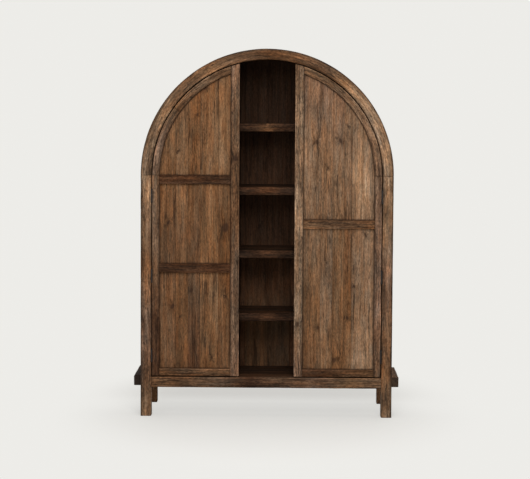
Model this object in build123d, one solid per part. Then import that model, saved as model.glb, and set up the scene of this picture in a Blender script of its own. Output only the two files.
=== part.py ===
# Arched cabinet of reclaimed timber, at its real size, in millimetres.
# The frame has +Z up and +X to the right as seen from the front, and the front faces -Y.
# The origin is on the floor, at the middle of the cabinet's width and depth.
#
# Two arched frames, front and rear, stand on four legs. Low rails, side runners and a boarded floor join
# them at the bottom, boarded sides and a coopered roof of staves join them above. Two partitions divide the
# inside into an open middle bay with thick shelves and a cupboard on each side, behind a hinged door.
# Right-hand pieces are drawn, and the left-hand ones are their mirror images.
from build123d import *

import os
from math import acos, cos, degrees, radians, sin

# ---- Overall form ----
arch_radius = 730.0  # outer radius of both arched frames, which is half the width over the posts
spring_height = 1404.0  # floor to the centre of the arches
cabinet_depth = 460.0  # over the front and rear frames

# ---- Posts and arches ----
post_width = 62.0  # across the front, and the arches' radial width
post_depth = 60.0  # front to back
front_edge_round = 9.0  # long edges of the front frame that show
rear_edge_round = 4.0  # the same on the rear frame
hidden_edge_round = 1.5  # edges that face the inside
foot_chamfer = 1.2
arch_segment_count = 6
loose_tenon_width = 36.0  # the tenons that join the arch segments and the posts, across the frame
loose_tenon_thickness = 12.0
loose_tenon_depth = 25.0  # into each of the two pieces it joins
groove_depth = 10.0  # in the frames' inside faces, for the side boards and staves

# ---- Rails, runners and floor ----
rail_bottom = 169.0
rail_height = 61.0
rail_thickness = 40.0
rail_recess = 4.0  # rail faces behind the posts' faces
rail_edge_round = 3.0
rail_tenon_length = 30.0
tenon_shoulder = 10.0  # step from a rail's or runner's faces to its tenon
runner_overhang = 44.0  # runners past the outer faces of the posts
runner_width = 94.0
runner_thickness = 59.0
runner_drop = 2.0  # runners' tops below the floor's top
runner_edge_round = 5.0
runner_tenon_width = 20.0
runner_tenon_length = 20.0
mortise_wall = 4.0  # timber left between a rail's mortise and a runner's mortise
floor_thickness = 20.0
floor_bearing = 18.0  # floor boards' ends on the runners
floor_board_count = 4
cleat_width = 25.0
cleat_depth = 25.0
bearer_width = 40.0
bearer_depth = 34.0

# ---- Sides, roof and back ----
side_setback = 14.0  # side boards and roof behind the posts' outer faces
side_thickness = 18.0
side_board_count = 4
stave_count = 24
stave_thinning = 0.4  # staves' inner facets stand off the line of the side boards' inner faces
back_thickness = 16.0
back_rebate = 12.0  # width of the rebate in the rear frame that holds the back boards
back_board_count = 10
back_board_drop = 50.0  # back boards reach this far below the floor's top

# ---- Partitions and shelves ----
partition_thickness = 24.0
partition_cover = 4.0  # partitions' inner faces behind the doors' meeting edges
partition_front_gap = 4.0  # doors' backs to the partitions' front edges
centre_shelf_count = 4
centre_shelf_thickness = 46.0
centre_shelf_recess = 14.0  # doors' backs to the middle shelves' front edges
housing_depth = 8.0  # in the partitions, for the middle shelves' ends
side_shelf_count = 3
side_shelf_thickness = 24.0
side_shelf_recess = 18.0  # doors' backs to the side shelves' front edges
shelf_cleat_width = 18.0
shelf_cleat_height = 30.0
shelf_cleat_inset = 18.0  # cleats' ends in from the side shelves' edges

# ---- Doors ----
opening_width = 320.0  # between the two doors' meeting edges
door_gap = 5.0  # between each door and the front frame
door_bottom_gap = 6.0  # between each door and the front rail
door_recess = 6.0  # doors' faces behind the front frame's face
door_frame_thickness = 20.0  # the stiles and rails planted on the boards
door_board_thickness = 18.0
outer_stile_width = 41.0
inner_stile_width = 50.0
bottom_rail_height = 42.0
mid_rail_height = 52.0
door_edge_round = 3.0
board_chamfer = 1.2
left_mid_rail_drops = (513.0, 0.0)  # from the springing down to the middle rails' tops
right_mid_rail_drops = (254.0,)
left_board_shares = (24, 21, 14, 14, 27)  # relative widths, from the meeting edge outwards
right_board_shares = (30, 14, 13, 9, 34)

# ---- Hinges and catches ----
hinge_count = 3
hinge_height = 76.0
hinge_inset = 120.0  # from a straight stile's ends to the middle of the nearest hinge
leaf_width = 30.0
leaf_thickness = 2.0
barrel_radius = 4.0
pin_radius = 2.5
pin_head_radius = 3.4
pin_head_height = 2.0
knuckle_count = 5
screw_head_radius = 3.4
screw_head_depth = 1.7
screw_shank_radius = 1.7
screw_length = 20.0
screws_per_leaf = 3
screw_spacing = 25.0
screw_line = 16.0  # hinge axis to the line of the screws
catch_width = 16.0
catch_length = 40.0
catch_height = 42.0
catch_level = 2.5  # height of the catches, counted in shelf levels
catch_screw_setback = 26.0  # behind the catch's front face
magnet_inset = 3.0
magnet_depth = 12.0
strike_thickness = 1.5
strike_gap = 0.3
catch_screw_spacing = 24.0

# ---- Clearances ----
joint_clearance = 0.3  # round tenons, boards in grooves and shelves
groove_end_clearance = 1.0  # between a board's end or edge and the bottom of its groove
running_clearance = 0.05  # hinge pins in their knuckles
knuckle_clearance = 0.15  # between neighbouring knuckles
screw_clearance = 0.06
barrel_clearance = 0.5
loose_fit = 0.2  # loose tenons in their slots

# ---- Derived places ----
half_depth = cabinet_depth / 2
inner_radius = arch_radius - post_width
front_inside = -half_depth + post_depth
rear_inside = half_depth - post_depth
rail_top = rail_bottom + rail_height
floor_bottom = rail_top - floor_thickness
runner_top = rail_top - runner_drop
runner_outer = arch_radius + runner_overhang
runner_inner = runner_outer - runner_width
runner_tenon_inner = inner_radius + rail_tenon_length + mortise_wall
side_outer = arch_radius - side_setback
side_inner = side_outer - side_thickness
segment_angle = 180.0 / arch_segment_count
stave_angle = 180.0 / stave_count
stave_apothem = side_inner + stave_thinning
back_front = rear_inside
back_rear = back_front + back_thickness
back_bottom = rail_top - back_board_drop
shelf_pitch = (spring_height + inner_radius - rail_top) / (centre_shelf_count + 1)
door_face = -half_depth + door_recess
door_seam = door_face + door_frame_thickness
door_back = door_seam + door_board_thickness
door_bottom = rail_top + door_bottom_gap
door_radius = inner_radius - door_gap
door_inner = opening_width / 2
stile_inner = door_inner + inner_stile_width
partition_inner = door_inner + partition_cover
partition_outer = partition_inner + partition_thickness
partition_front = door_back + partition_front_gap
shelf_rear = back_front - joint_clearance
hinge_x = inner_radius - door_gap / 2
hinge_y = -half_depth + barrel_radius
front_rail_front = -half_depth + rail_recess
front_rail_rear = front_rail_front + rail_thickness
strike_rear = door_back + strike_thickness
catch_front = strike_rear + strike_gap
catch_middle = rail_top + catch_level * shelf_pitch
beyond = 5.0  # how far cutters reach past what they cut, and tenons back into what they belong to
touching = 1e-6  # two faces nearer than this are the same face


def block(x, y, z):
    """A box from (low, high) pairs along X, Y and Z."""
    size = (x[1] - x[0], y[1] - y[0], z[1] - z[0])
    middle = ((x[0] + x[1]) / 2, (y[0] + y[1]) / 2, (z[0] + z[1]) / 2)
    return Pos(*middle) * Box(*size)


def eased_block(x, y, z, along, radius):
    """A box whose four edges along one axis are rounded."""
    plain = block(x, y, z)
    return fillet(plain.edges().filter_by(along), radius)


def board(x, y, z, along):
    """A board whose long edges have a small chamfer."""
    plain = block(x, y, z)
    return chamfer(plain.edges().filter_by(along), board_chamfer)


def rectangle(x, y):
    """A rectangle in the XY plane from (low, high) pairs."""
    return Pos((x[0] + x[1]) / 2, (y[0] + y[1]) / 2) * Rectangle(x[1] - x[0], y[1] - y[0])


def rod_z(x, y, radius, z):
    """An upright cylinder between two heights."""
    return Pos(x, y, (z[0] + z[1]) / 2) * Cylinder(radius, z[1] - z[0])


def arched_prism(radius, y, bottom):
    """The cabinet's arched outline at a given radius, from y to y and from a height upwards."""
    below = block((-radius, radius), y, (bottom, spring_height))
    vault = Pos(0, (y[0] + y[1]) / 2, spring_height) * Rot(90, 0, 0) * Cylinder(radius, y[1] - y[0])
    return below + vault


def as_drawn(shape):
    """A right-hand shape as it is."""
    return shape


def left_of(shape):
    """The left-hand twin of a right-hand shape."""
    return mirror(shape, about=Plane.YZ)


def save(name, *shapes):
    """Writes every solid of the shapes as one node."""
    solids = [solid for shape in shapes for solid in shape.solids()]
    whole = solids[0] if len(solids) == 1 else Compound(children=solids)
    export_step(whole, f"parts/{name}.step")


def spread(low, high, count):
    """(low, high) pairs of equal boards side by side."""
    step = (high - low) / count
    return [(low + i * step, low + (i + 1) * step) for i in range(count)]


# ---- Arched frames ----
arch_axis = Axis((0, 0, spring_height), (0, -1, 0))  # turns +X towards +Z


def frame_section(outer_face, inner_face, show_round):
    """Section of a frame's posts and arches in the XY plane, on the right-hand side."""
    section = rectangle((inner_radius, arch_radius), sorted((outer_face, inner_face)))
    shown = [v for v in section.vertices() if abs(v.Y - outer_face) < touching]
    section = fillet(shown, show_round)
    hidden = [v for v in section.vertices() if abs(v.Y - inner_face) < touching]
    return fillet(hidden, hidden_edge_round)


def groove_section(inner_face, direction):
    """The groove that holds side boards and staves, cut into a frame's inner face."""
    depth = sorted((inner_face - direction * beyond, inner_face + direction * groove_depth))
    return rectangle((side_inner - joint_clearance, side_outer + joint_clearance), depth)


def rebate_section():
    """The rebate in the rear frame's inner front corner that holds the back boards."""
    width = (inner_radius - beyond, inner_radius + back_rebate)
    return rectangle(width, (back_front - beyond, back_rear + joint_clearance))


def loose_tenon(middle_y, clearance):
    """A tenon across the joint at the right-hand springing, or the slot for it."""
    radial = (arch_radius + inner_radius) / 2
    half_width = loose_tenon_width / 2 + clearance
    half_thickness = loose_tenon_thickness / 2 + clearance
    reach = loose_tenon_depth + clearance
    across = (radial - half_width, radial + half_width)
    through = (middle_y - half_thickness, middle_y + half_thickness)
    return block(across, through, (spring_height - reach, spring_height + reach))


def tenon_line(front):
    """The depth at which a frame's loose tenons run, clear of its grooves and rebate."""
    inset = (post_depth - groove_depth) / 2
    if front:
        return -half_depth + inset
    return (half_depth + back_rear) / 2


def arch_segments(front):
    """The segments of one arch, from the right-hand springing to the left-hand one."""
    if front:
        section = frame_section(-half_depth, front_inside, front_edge_round)
        section -= groove_section(front_inside, -1)
    else:
        section = frame_section(half_depth, rear_inside, rear_edge_round)
        section -= groove_section(rear_inside, 1)
        section -= rebate_section()
    first = revolve(Pos(0, 0, spring_height) * section, arch_axis, segment_angle)
    slot = loose_tenon(tenon_line(front), loose_fit)
    first -= slot
    first -= slot.rotate(arch_axis, segment_angle)
    return [first.rotate(arch_axis, i * segment_angle) for i in range(arch_segment_count)]


def loose_tenons():
    """One tenon across each joint of both arches, the springings included."""
    tenons = []
    for front in (True, False):
        first = loose_tenon(tenon_line(front), 0)
        joints = range(arch_segment_count + 1)
        tenons += [first.rotate(arch_axis, i * segment_angle) for i in joints]
    return tenons


def runner_tenon(clearance, face, direction):
    """A runner's tenon into the post whose inner face is at face, or the mortise for it."""
    width = (runner_tenon_inner - clearance, runner_tenon_inner + runner_tenon_width + clearance)
    reach = runner_tenon_length + clearance
    depth = sorted((face - direction * beyond, face + direction * reach))
    low = runner_top - runner_thickness + tenon_shoulder
    high = runner_top - tenon_shoulder
    return block(width, depth, (low - clearance, high + clearance))


def rail_tenon(rail_depth, clearance):
    """A rail's tenon into the right-hand post, or the mortise for it."""
    length = (inner_radius - beyond, inner_radius + rail_tenon_length + clearance)
    depth = (rail_depth[0] + tenon_shoulder - clearance, rail_depth[1] - tenon_shoulder + clearance)
    height = (rail_bottom + tenon_shoulder - clearance, rail_top - tenon_shoulder + clearance)
    return block(length, depth, height)


front_rail_depth = (front_rail_front, front_rail_rear)
rear_rail_depth = (back_rear, half_depth - rail_recess)


def post(front):
    """A right-hand post, with its mortises, its groove and the pockets for the hinges."""
    if front:
        section = frame_section(-half_depth, front_inside, front_edge_round)
        groove = groove_section(front_inside, -1)
        face, direction, rail_depth = front_inside, -1, front_rail_depth
    else:
        section = frame_section(half_depth, rear_inside, rear_edge_round)
        groove = groove_section(rear_inside, 1)
        face, direction, rail_depth = rear_inside, 1, rear_rail_depth
    shaft = extrude(section, spring_height)
    shaft = chamfer(shaft.edges().group_by(Axis.Z)[0], foot_chamfer)
    shaft -= Pos(0, 0, runner_top) * extrude(groove, spring_height)
    shaft -= rail_tenon(rail_depth, joint_clearance)
    shaft -= runner_tenon(joint_clearance, face, direction)
    shaft -= loose_tenon(tenon_line(front), loose_fit)
    if front:
        for cutter in hinge_cutters(+1):
            shaft -= cutter
    else:
        shaft -= Pos(0, 0, back_bottom - joint_clearance) * extrude(rebate_section(), spring_height)
    return shaft


# ---- Rails, runners and floor ----
def rail(rail_depth):
    """A rail between two posts, with a tenon at each end."""
    bar = eased_block(
        (-inner_radius, inner_radius), rail_depth, (rail_bottom, rail_top), Axis.X, rail_edge_round
    )
    tenon = rail_tenon(rail_depth, 0)
    return bar + tenon + left_of(tenon)


def side_runner():
    """The right-hand runner between the front and rear posts, rebated for the floor boards."""
    bar = eased_block(
        (runner_inner, runner_outer),
        (front_inside, rear_inside),
        (runner_top - runner_thickness, runner_top),
        Axis.Y,
        runner_edge_round,
    )
    seat = (runner_inner - beyond, runner_inner + floor_bearing)
    bar -= block(seat, (front_inside - beyond, rear_inside + beyond), (floor_bottom, rail_top))
    bar += runner_tenon(0, front_inside, -1)
    bar += runner_tenon(0, rear_inside, 1)
    return bar


def floor_boards():
    """Boards from runner to runner, the front one notched round the front posts."""
    half_length = runner_inner + floor_bearing - joint_clearance
    boards = []
    for y in spread(front_rail_rear, shelf_rear, floor_board_count):
        plank = board((-half_length, half_length), y, (floor_bottom, rail_top), Axis.X)
        if y[0] < front_inside:
            notch_x = (inner_radius - joint_clearance, half_length + beyond)
            notch_y = (y[0] - beyond, front_inside + joint_clearance)
            notch = block(notch_x, notch_y, (floor_bottom - beyond, rail_top + beyond))
            plank = plank - notch - left_of(notch)
        boards.append(plank)
    return boards


def floor_cleats():
    """Cleats under the floor's long edges, and a bearer below each partition."""
    height = (floor_bottom - cleat_depth, floor_bottom)
    half_length = runner_inner - joint_clearance
    front = block((-half_length, half_length), (front_rail_rear, front_rail_rear + cleat_width), height)
    notch_x = (inner_radius - joint_clearance, half_length + beyond)
    notch = block(notch_x, (-half_depth, front_inside + joint_clearance), (0, rail_top))
    front = front - notch - left_of(notch)
    rear = block((-half_length, half_length), (back_front - cleat_width, back_front), height)
    middle = (partition_inner + partition_outer) / 2
    bearer = block(
        (middle - bearer_width / 2, middle + bearer_width / 2),
        (front_rail_rear + cleat_width, back_front - cleat_width),
        (floor_bottom - bearer_depth, floor_bottom),
    )
    return [front, rear, bearer, left_of(bearer)]


# ---- Sides, roof and back ----
def side_boards():
    """Upright boards of the right-hand side, from the runner to the springing."""
    reach = groove_depth - groove_end_clearance
    limits = (front_inside - reach, rear_inside + reach)
    height = (runner_top, spring_height)
    return [board((side_inner, side_outer), y, height, Axis.Z) for y in spread(*limits, side_board_count)]


def roof_staves():
    """Flat staves with bevelled edges that make up the half-round roof."""
    reach = groove_depth - groove_end_clearance
    length = rear_inside - front_inside + 2 * reach
    inner_corner = stave_apothem / cos(radians(stave_angle / 2))
    staves = []
    for i in range(stave_count):
        ends = [radians(i * stave_angle), radians((i + 1) * stave_angle)]
        outer = [(side_outer * cos(a), side_outer * sin(a)) for a in ends]
        inner = [(inner_corner * cos(a), inner_corner * sin(a)) for a in reversed(ends)]
        points = [(x, rear_inside + reach, spring_height + z) for x, z in outer + inner]
        staves.append(extrude(make_face(Polyline(*points, close=True)), length, dir=(0, -1, 0)))
    return staves


def back_boards():
    """Upright back boards, cut round at the top to fit the rear frame's rebate."""
    reach = inner_radius + back_rebate - joint_clearance
    outline = arched_prism(reach, (back_front, back_rear), back_bottom)
    tall = (back_bottom, spring_height + reach)
    edges = spread(-reach, reach, back_board_count)
    return [board(x, (back_front, back_rear), tall, Axis.Z) & outline for x in edges]


# ---- Partitions and shelves ----
def shelf_top(level):
    """Height of the top of the shelf at a level, counted from the floor, which is level 0."""
    return rail_top + level * shelf_pitch


def inside(y, under_frame=False):
    """The space inside the sides and roof, or inside the frames, less the joint clearance."""
    radius = inner_radius if under_frame else min(side_inner, stave_apothem)
    return arched_prism(radius - joint_clearance, y, rail_bottom)


def partition():
    """The right-hand partition, with housings for the middle shelves and screw holes for the catch."""
    tall = (rail_top, spring_height + arch_radius)
    sheet = block((partition_inner, partition_outer), (partition_front, shelf_rear), tall)
    behind = front_inside + joint_clearance
    sheet &= inside((partition_front, behind), under_frame=True) + inside((behind, shelf_rear))
    housing_x = (partition_inner - beyond, partition_inner + housing_depth)
    housing_y = (shelf_front(centre_shelf_recess), shelf_rear + beyond)
    for level in range(1, centre_shelf_count + 1):
        top = shelf_top(level)
        sheet -= block(housing_x, housing_y, (top - centre_shelf_thickness, top))
    for cutter in catch_screws(screw_clearance):
        sheet -= cutter
    return sheet


def shelf_front(recess):
    """Depth of a shelf's front edge."""
    return door_back + recess


def centre_shelf(level):
    """A thick shelf of the middle bay, housed in both partitions."""
    half_length = partition_inner + housing_depth - joint_clearance
    top = shelf_top(level)
    height = (top - centre_shelf_thickness, top)
    return block((-half_length, half_length), (shelf_front(centre_shelf_recess), shelf_rear), height)


def side_shelves():
    """Shelves of the right-hand cupboard."""
    depth = (shelf_front(side_shelf_recess), shelf_rear)
    room = inside(depth)
    shelves = []
    for level in range(1, side_shelf_count + 1):
        top = shelf_top(level)
        plank = block((partition_outer, arch_radius), depth, (top - side_shelf_thickness, top))
        shelves.append(plank & room)
    return shelves


def shelf_cleats():
    """Cleats under the ends of the right-hand cupboard's shelves."""
    depth = (shelf_front(side_shelf_recess) + shelf_cleat_inset, shelf_rear - shelf_cleat_inset)
    cleats = []
    for level in range(1, side_shelf_count + 1):
        top = shelf_top(level) - side_shelf_thickness
        height = (top - shelf_cleat_height, top)
        cleats.append(block((partition_outer, partition_outer + shelf_cleat_width), depth, height))
        cleats.append(block((side_inner - shelf_cleat_width, side_inner), depth, height))
    return cleats


# ---- Doors ----
def door_outline(y):
    """The right-hand door's outline as a solid between two depths."""
    half = block((door_inner, door_radius + beyond), y, (door_bottom, spring_height + door_radius))
    return arched_prism(door_radius, y, door_bottom) & half


def door_boards(shares):
    """Upright boards that run the door's full height, behind its stiles and rails."""
    depth = (door_seam, door_back)
    outline = door_outline(depth)
    tall = (door_bottom, spring_height + door_radius)
    width = door_radius - door_inner
    boards = []
    low = door_inner
    for share in shares:
        high = low + width * share / sum(shares)
        boards.append(board((low, high), depth, tall, Axis.Z) & outline)
        low = high
    for cutter in hinge_cutters(-1):
        boards[-1] -= cutter
    boards[0] -= strike_screw(screw_clearance)
    return boards


def frame_bar(x, z, along):
    """A straight stile or rail of a door's frame, its front edges eased."""
    plain = block(x, (door_face, door_seam), z)
    front = [e for e in plain.edges().filter_by(along) if abs(e.center().Y - door_face) < touching]
    return fillet(front, door_edge_round)


def outer_stile():
    """The straight stile on the hinge side, up to the springing."""
    stile = frame_bar((door_radius - outer_stile_width, door_radius), (door_bottom, spring_height), Axis.Z)
    for cutter in hinge_cutters(-1):
        stile -= cutter
    return stile


def arch_stiles():
    """The two curved stiles that follow the arch from the springing to the inner stile."""
    section = rectangle((door_radius - outer_stile_width, door_radius), (door_face, door_seam))
    front = [v for v in section.vertices() if abs(v.Y - door_face) < touching]
    section = fillet(front, door_edge_round)
    sweep = degrees(acos(stile_inner / door_radius))
    lower = revolve(Pos(0, 0, spring_height) * section, arch_axis, sweep / 2)
    upper = lower.rotate(arch_axis, sweep / 2)
    keep = block(
        (stile_inner, door_radius + beyond),
        (door_face - beyond, door_seam + beyond),
        (spring_height - beyond, spring_height + arch_radius),
    )
    return [lower, upper & keep]


def inner_stile():
    """The straight stile at the meeting edge, cut to the arch at its top."""
    bar = frame_bar((door_inner, stile_inner), (door_bottom, spring_height + door_radius), Axis.Z)
    bar &= door_outline((door_face, door_seam))
    return bar - strike_screw(screw_clearance)


def cross_rail(bottom, height):
    """A rail from the inner stile to the outer one."""
    return frame_bar((stile_inner, door_radius - outer_stile_width), (bottom, bottom + height), Axis.X)


# ---- Hinges and catches ----
def hinge_heights():
    """Heights of the hinges' middles, spread along the straight stile."""
    low = door_bottom + hinge_inset
    high = spring_height - hinge_inset
    return [low + i * (high - low) / (hinge_count - 1) for i in range(hinge_count)]


def screw(clearance=0.0):
    """A countersunk wood screw along +X with its head at x = 0, or the hole for it."""
    head = screw_head_radius + clearance
    shank = screw_shank_radius + clearance
    end = screw_length + clearance
    point = end - 2 * screw_shank_radius
    profile = [(0, 0), (0, head), (screw_head_depth, shank), (point, shank), (end, 0)]
    face = make_face(Polyline(*profile, close=True))
    return revolve(face, Axis.X, 360)


def leaf_screws(side, clearance=0.0):
    """Screws through one leaf of every hinge: side +1 is the post's leaf, and -1 the door's."""
    surface = hinge_x + side * door_gap / 2
    one = screw(clearance) if side > 0 else Rot(0, 0, 180) * screw(clearance)
    screws = []
    for middle in hinge_heights():
        for i in range(screws_per_leaf):
            offset = (i - (screws_per_leaf - 1) / 2) * screw_spacing
            screws.append(Pos(surface, hinge_y + screw_line, middle + offset) * one)
    return screws


def leaf_plates(side, clearance=0.0):
    """The plates of the leaves on one side, or the recesses that they lie in."""
    near = hinge_x + side * door_gap / 2
    far = near + side * (leaf_thickness + clearance)
    depth = (hinge_y, hinge_y + leaf_width + clearance)
    reach = hinge_height / 2 + clearance
    return [block(sorted((near, far)), depth, (z - reach, z + reach)) for z in hinge_heights()]


def hinge_cutters(side):
    """What the hinges need cut out of a post (side +1) or a door (side -1)."""
    room = hinge_height / 2 + pin_head_height + barrel_clearance
    barrels = [
        rod_z(hinge_x, hinge_y, barrel_radius + barrel_clearance, (z - room, z + room))
        for z in hinge_heights()
    ]
    return leaf_plates(side, joint_clearance) + barrels + leaf_screws(side, screw_clearance)


def hinge_leaves(side):
    """Every leaf on one side, with its knuckles: the post's leaves have the odd ones, counted from 1."""
    knuckle = hinge_height / knuckle_count
    leaves = []
    holes = leaf_screws(side, screw_clearance)
    for number, plate in enumerate(leaf_plates(side)):
        bottom = hinge_heights()[number] - hinge_height / 2
        leaf = plate
        for k in range(knuckle_count):
            low = bottom + k * knuckle
            own = (k % 2 == 0) == (side > 0)
            if own:
                span = (low + knuckle_clearance, low + knuckle - knuckle_clearance)
                leaf += rod_z(hinge_x, hinge_y, barrel_radius, span)
            else:
                span = (low - knuckle_clearance, low + knuckle + knuckle_clearance)
                leaf -= rod_z(hinge_x, hinge_y, barrel_radius + joint_clearance, span)
        bore = (bottom - beyond, bottom + hinge_height + beyond)
        leaf -= rod_z(hinge_x, hinge_y, pin_radius + running_clearance, bore)
        for hole in holes[number * screws_per_leaf : (number + 1) * screws_per_leaf]:
            leaf -= hole
        leaves.append(leaf)
    return leaves


def hinge_pins():
    """Pins with a low round head at each end."""
    half = hinge_height / 2
    pins = []
    for z in hinge_heights():
        pin = rod_z(hinge_x, hinge_y, pin_radius, (z - half, z + half))
        top = rod_z(hinge_x, hinge_y, pin_head_radius, (z + half, z + half + pin_head_height))
        foot = rod_z(hinge_x, hinge_y, pin_head_radius, (z - half - pin_head_height, z - half))
        pins.append(pin + top + foot)
    return pins


catch_span = (catch_middle - catch_height / 2, catch_middle + catch_height / 2)
catch_side = (partition_outer, partition_outer + catch_width)


def catch_screws(clearance=0.0):
    """The two screws that hold the right-hand catch to its partition."""
    one = Rot(0, 0, 180) * screw(clearance)
    y = catch_front + catch_screw_setback
    places = (catch_middle - catch_screw_spacing / 2, catch_middle + catch_screw_spacing / 2)
    return [Pos(catch_side[1], y, z) * one for z in places]


def door_catch():
    """The magnetic catch on the right-hand partition: its case, its magnet and its screws."""
    case = block(catch_side, (catch_front, catch_front + catch_length), catch_span)
    pocket_x = (catch_side[0] + magnet_inset, catch_side[1] - magnet_inset)
    pocket_z = (catch_span[0] + magnet_inset, catch_span[1] - magnet_inset)
    magnet = block(pocket_x, (catch_front, catch_front + magnet_depth), pocket_z)
    case -= magnet
    for hole in catch_screws(screw_clearance):
        case -= hole
    return [case, magnet] + catch_screws()


def strike_screw(clearance=0.0):
    """The screw through the strike into the right-hand door, from behind."""
    place = Pos(sum(catch_side) / 2, strike_rear, catch_middle)
    return place * Rot(0, 0, -90) * screw(clearance)


def door_strike():
    """The plate on the door's back that the magnet holds, with its screw."""
    plate = block(catch_side, (door_back, strike_rear), catch_span)
    return [plate - strike_screw(screw_clearance), strike_screw()]


# ---- The nodes ----
def save_carcass():
    """Writes the frames, floor, sides, roof, back, partitions and shelves."""
    for place, front in (("front", True), ("rear", False)):
        right = post(front)
        save(f"{place}_post_right", right)
        save(f"{place}_post_left", left_of(right))
    for number, segment in enumerate(arch_segments(True), 1):
        save(f"front_arch_segment_{number}", segment)
    save("rear_arch_segments", *arch_segments(False))
    save("arch_loose_tenons", *loose_tenons())
    save("front_rail", rail(front_rail_depth))
    save("rear_rail", rail(rear_rail_depth))
    for name, pieces in (
        ("side_runner", [side_runner()]),
        ("side_boards", side_boards()),
        ("partition", [partition()]),
        ("side_shelves", side_shelves()),
    ):
        save(f"{name}_right", *pieces)
        save(f"{name}_left", *[left_of(piece) for piece in pieces])
    save("floor_boards", *floor_boards())
    save("floor_cleats", *floor_cleats())
    save("roof_staves", *roof_staves())
    save("back_boards", *back_boards())
    for level in range(1, centre_shelf_count + 1):
        save(f"centre_shelf_{level}", centre_shelf(level))
    cleats = shelf_cleats()
    save("shelf_cleats", *cleats, *[left_of(cleat) for cleat in cleats])
    catch = door_catch()
    save("door_catches", *catch, *[left_of(piece) for piece in catch])


def door_pieces(shares, rail_drops):
    """One right-hand door's wooden pieces by name."""
    lower, upper = arch_stiles()
    pieces = {
        "boards": door_boards(shares),
        "outer_stile": [outer_stile()],
        "arch_stile_lower": [lower],
        "arch_stile_upper": [upper],
        "inner_stile": [inner_stile()],
        "bottom_rail": [cross_rail(door_bottom, bottom_rail_height)],
    }
    for number, drop in enumerate(rail_drops, 1):
        bottom = spring_height - drop - mid_rail_height
        pieces[f"mid_rail_{number}"] = [cross_rail(bottom, mid_rail_height)]
    return pieces


def save_doors():
    """Writes both doors and what they hang on."""
    doors = {
        "left": door_pieces(left_board_shares, left_mid_rail_drops),
        "right": door_pieces(right_board_shares, right_mid_rail_drops),
    }
    hardware = {
        "hinge_frame_leaves": hinge_leaves(+1),
        "hinge_door_leaves": hinge_leaves(-1),
        "hinge_pins": hinge_pins(),
        "hinge_frame_screws": leaf_screws(+1),
        "hinge_door_screws": leaf_screws(-1),
        "door_strike": door_strike(),
    }
    for side, placed in (("left", left_of), ("right", as_drawn)):
        for name, pieces in doors[side].items():
            save(f"{side}_door_{name}", *[placed(piece) for piece in pieces])
        for name, pieces in hardware.items():
            save(f"{side}_{name}", *[placed(piece) for piece in pieces])


os.makedirs("parts", exist_ok=True)
save_carcass()
save_doors()
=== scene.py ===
from math import acos, cos, pi, radians, sin
from zlib import crc32

import bpy
import numpy as np
from mathutils import Matrix, Vector


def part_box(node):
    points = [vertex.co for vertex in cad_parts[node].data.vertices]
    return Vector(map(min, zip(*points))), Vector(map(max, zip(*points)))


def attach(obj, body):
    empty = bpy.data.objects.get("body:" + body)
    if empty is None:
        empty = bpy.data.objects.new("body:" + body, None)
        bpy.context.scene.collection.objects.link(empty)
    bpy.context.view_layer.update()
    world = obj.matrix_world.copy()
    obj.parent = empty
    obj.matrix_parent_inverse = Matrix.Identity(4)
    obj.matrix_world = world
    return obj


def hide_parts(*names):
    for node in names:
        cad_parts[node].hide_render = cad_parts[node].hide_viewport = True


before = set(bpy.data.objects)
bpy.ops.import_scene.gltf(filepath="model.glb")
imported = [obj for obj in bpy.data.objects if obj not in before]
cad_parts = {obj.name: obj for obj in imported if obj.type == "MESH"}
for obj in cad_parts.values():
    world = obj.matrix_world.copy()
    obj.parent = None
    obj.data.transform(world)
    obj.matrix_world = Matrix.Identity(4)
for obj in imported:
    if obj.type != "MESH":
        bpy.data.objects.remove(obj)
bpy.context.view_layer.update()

# ---- Camera ----
CAMERA_PLACE = (0.1079, -8.7091, 1.7977)
CAMERA_PITCH = 3.5  # degrees below the horizontal
CAMERA_YAW = 0.805
CAMERA_ROLL = 0.308
CAMERA_LENS = 100.12  # millimetres on a 36 mm sensor
CAMERA_SHIFT = -0.0793

# ---- Stage and light ----
BACKGROUND = (0.930, 0.926, 0.911)  # sRGB
WORLD_LIGHT = 0.34
WORLD_TINT = (1.0, 0.985, 0.965, 1.0)
FLOOR_REACH = 30.0
FLOOR_ALBEDO = (0.950, 0.946, 0.931)
SHADOW_WEIGHT = 0.52  # how much of the floor's shading shows against the background's colour
OPEN_FLOOR = 1.0  # the floor's own brightness out of the shadow, against the background's
SHADOW_NEAR = 0.95  # metres from the cabinet's middle where the floor starts to fade into the background
SHADOW_FAR = 1.7
UNDER_MIDDLE = 0.12  # metres back from the origin, where least of the floor's shading shows
UNDER_REACH = 0.42  # metres from there to where all of it shows
UNDER_SHARE = 0.45  # the share that shows at the middle
SHADOW_SQUEEZE = (1.3, 1.0, 1.0)  # the shadow fades sooner to the sides than to the front
LAMPS = {  # name: (place, size, power in watts)
    "key": ((0.35, -5.0, 4.2), 3.6, 215.0),
    "fill": ((-3.4, -6.0, 2.2), 3.4, 64.0),
    "top": ((0.2, 0.9, 5.6), 4.4, 90.0),
}
LAMP_AIM = (0.0, 0.0, 1.15)

# ---- Timber in general ----
STATION_STEP = 0.014  # between sections along a timber
RING_STEP = 0.012  # between points round a section
CORNER_STEPS = 4
END_ROUND = 0.0016
END_DIRT_AND_SHADE = 0.003  # how far dirt and painted shade spread from a joint along a timber
OPEN_JOINT = 0.5  # how dark dirt and painted shade make a joint that gathers them
SPRINGING_JOINT = 0.6
CLOSE_JOINT = 0.12
CRACK_DIRT_AND_SHADE = 0.0015  # how deep a crack is where its dirt and painted shade are as dark as they get
SWAY = 0.0007  # deepest hollow of a hand-worked face
RADIUS_SHARES = (0.75, 0.5)  # a corner's least radius against its own, and how much more it varies by
CHIP_LENGTHS = (0.008, 0.030)
CHIP_DEPTHS = (0.3, 1.1)  # in corner radii
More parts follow.
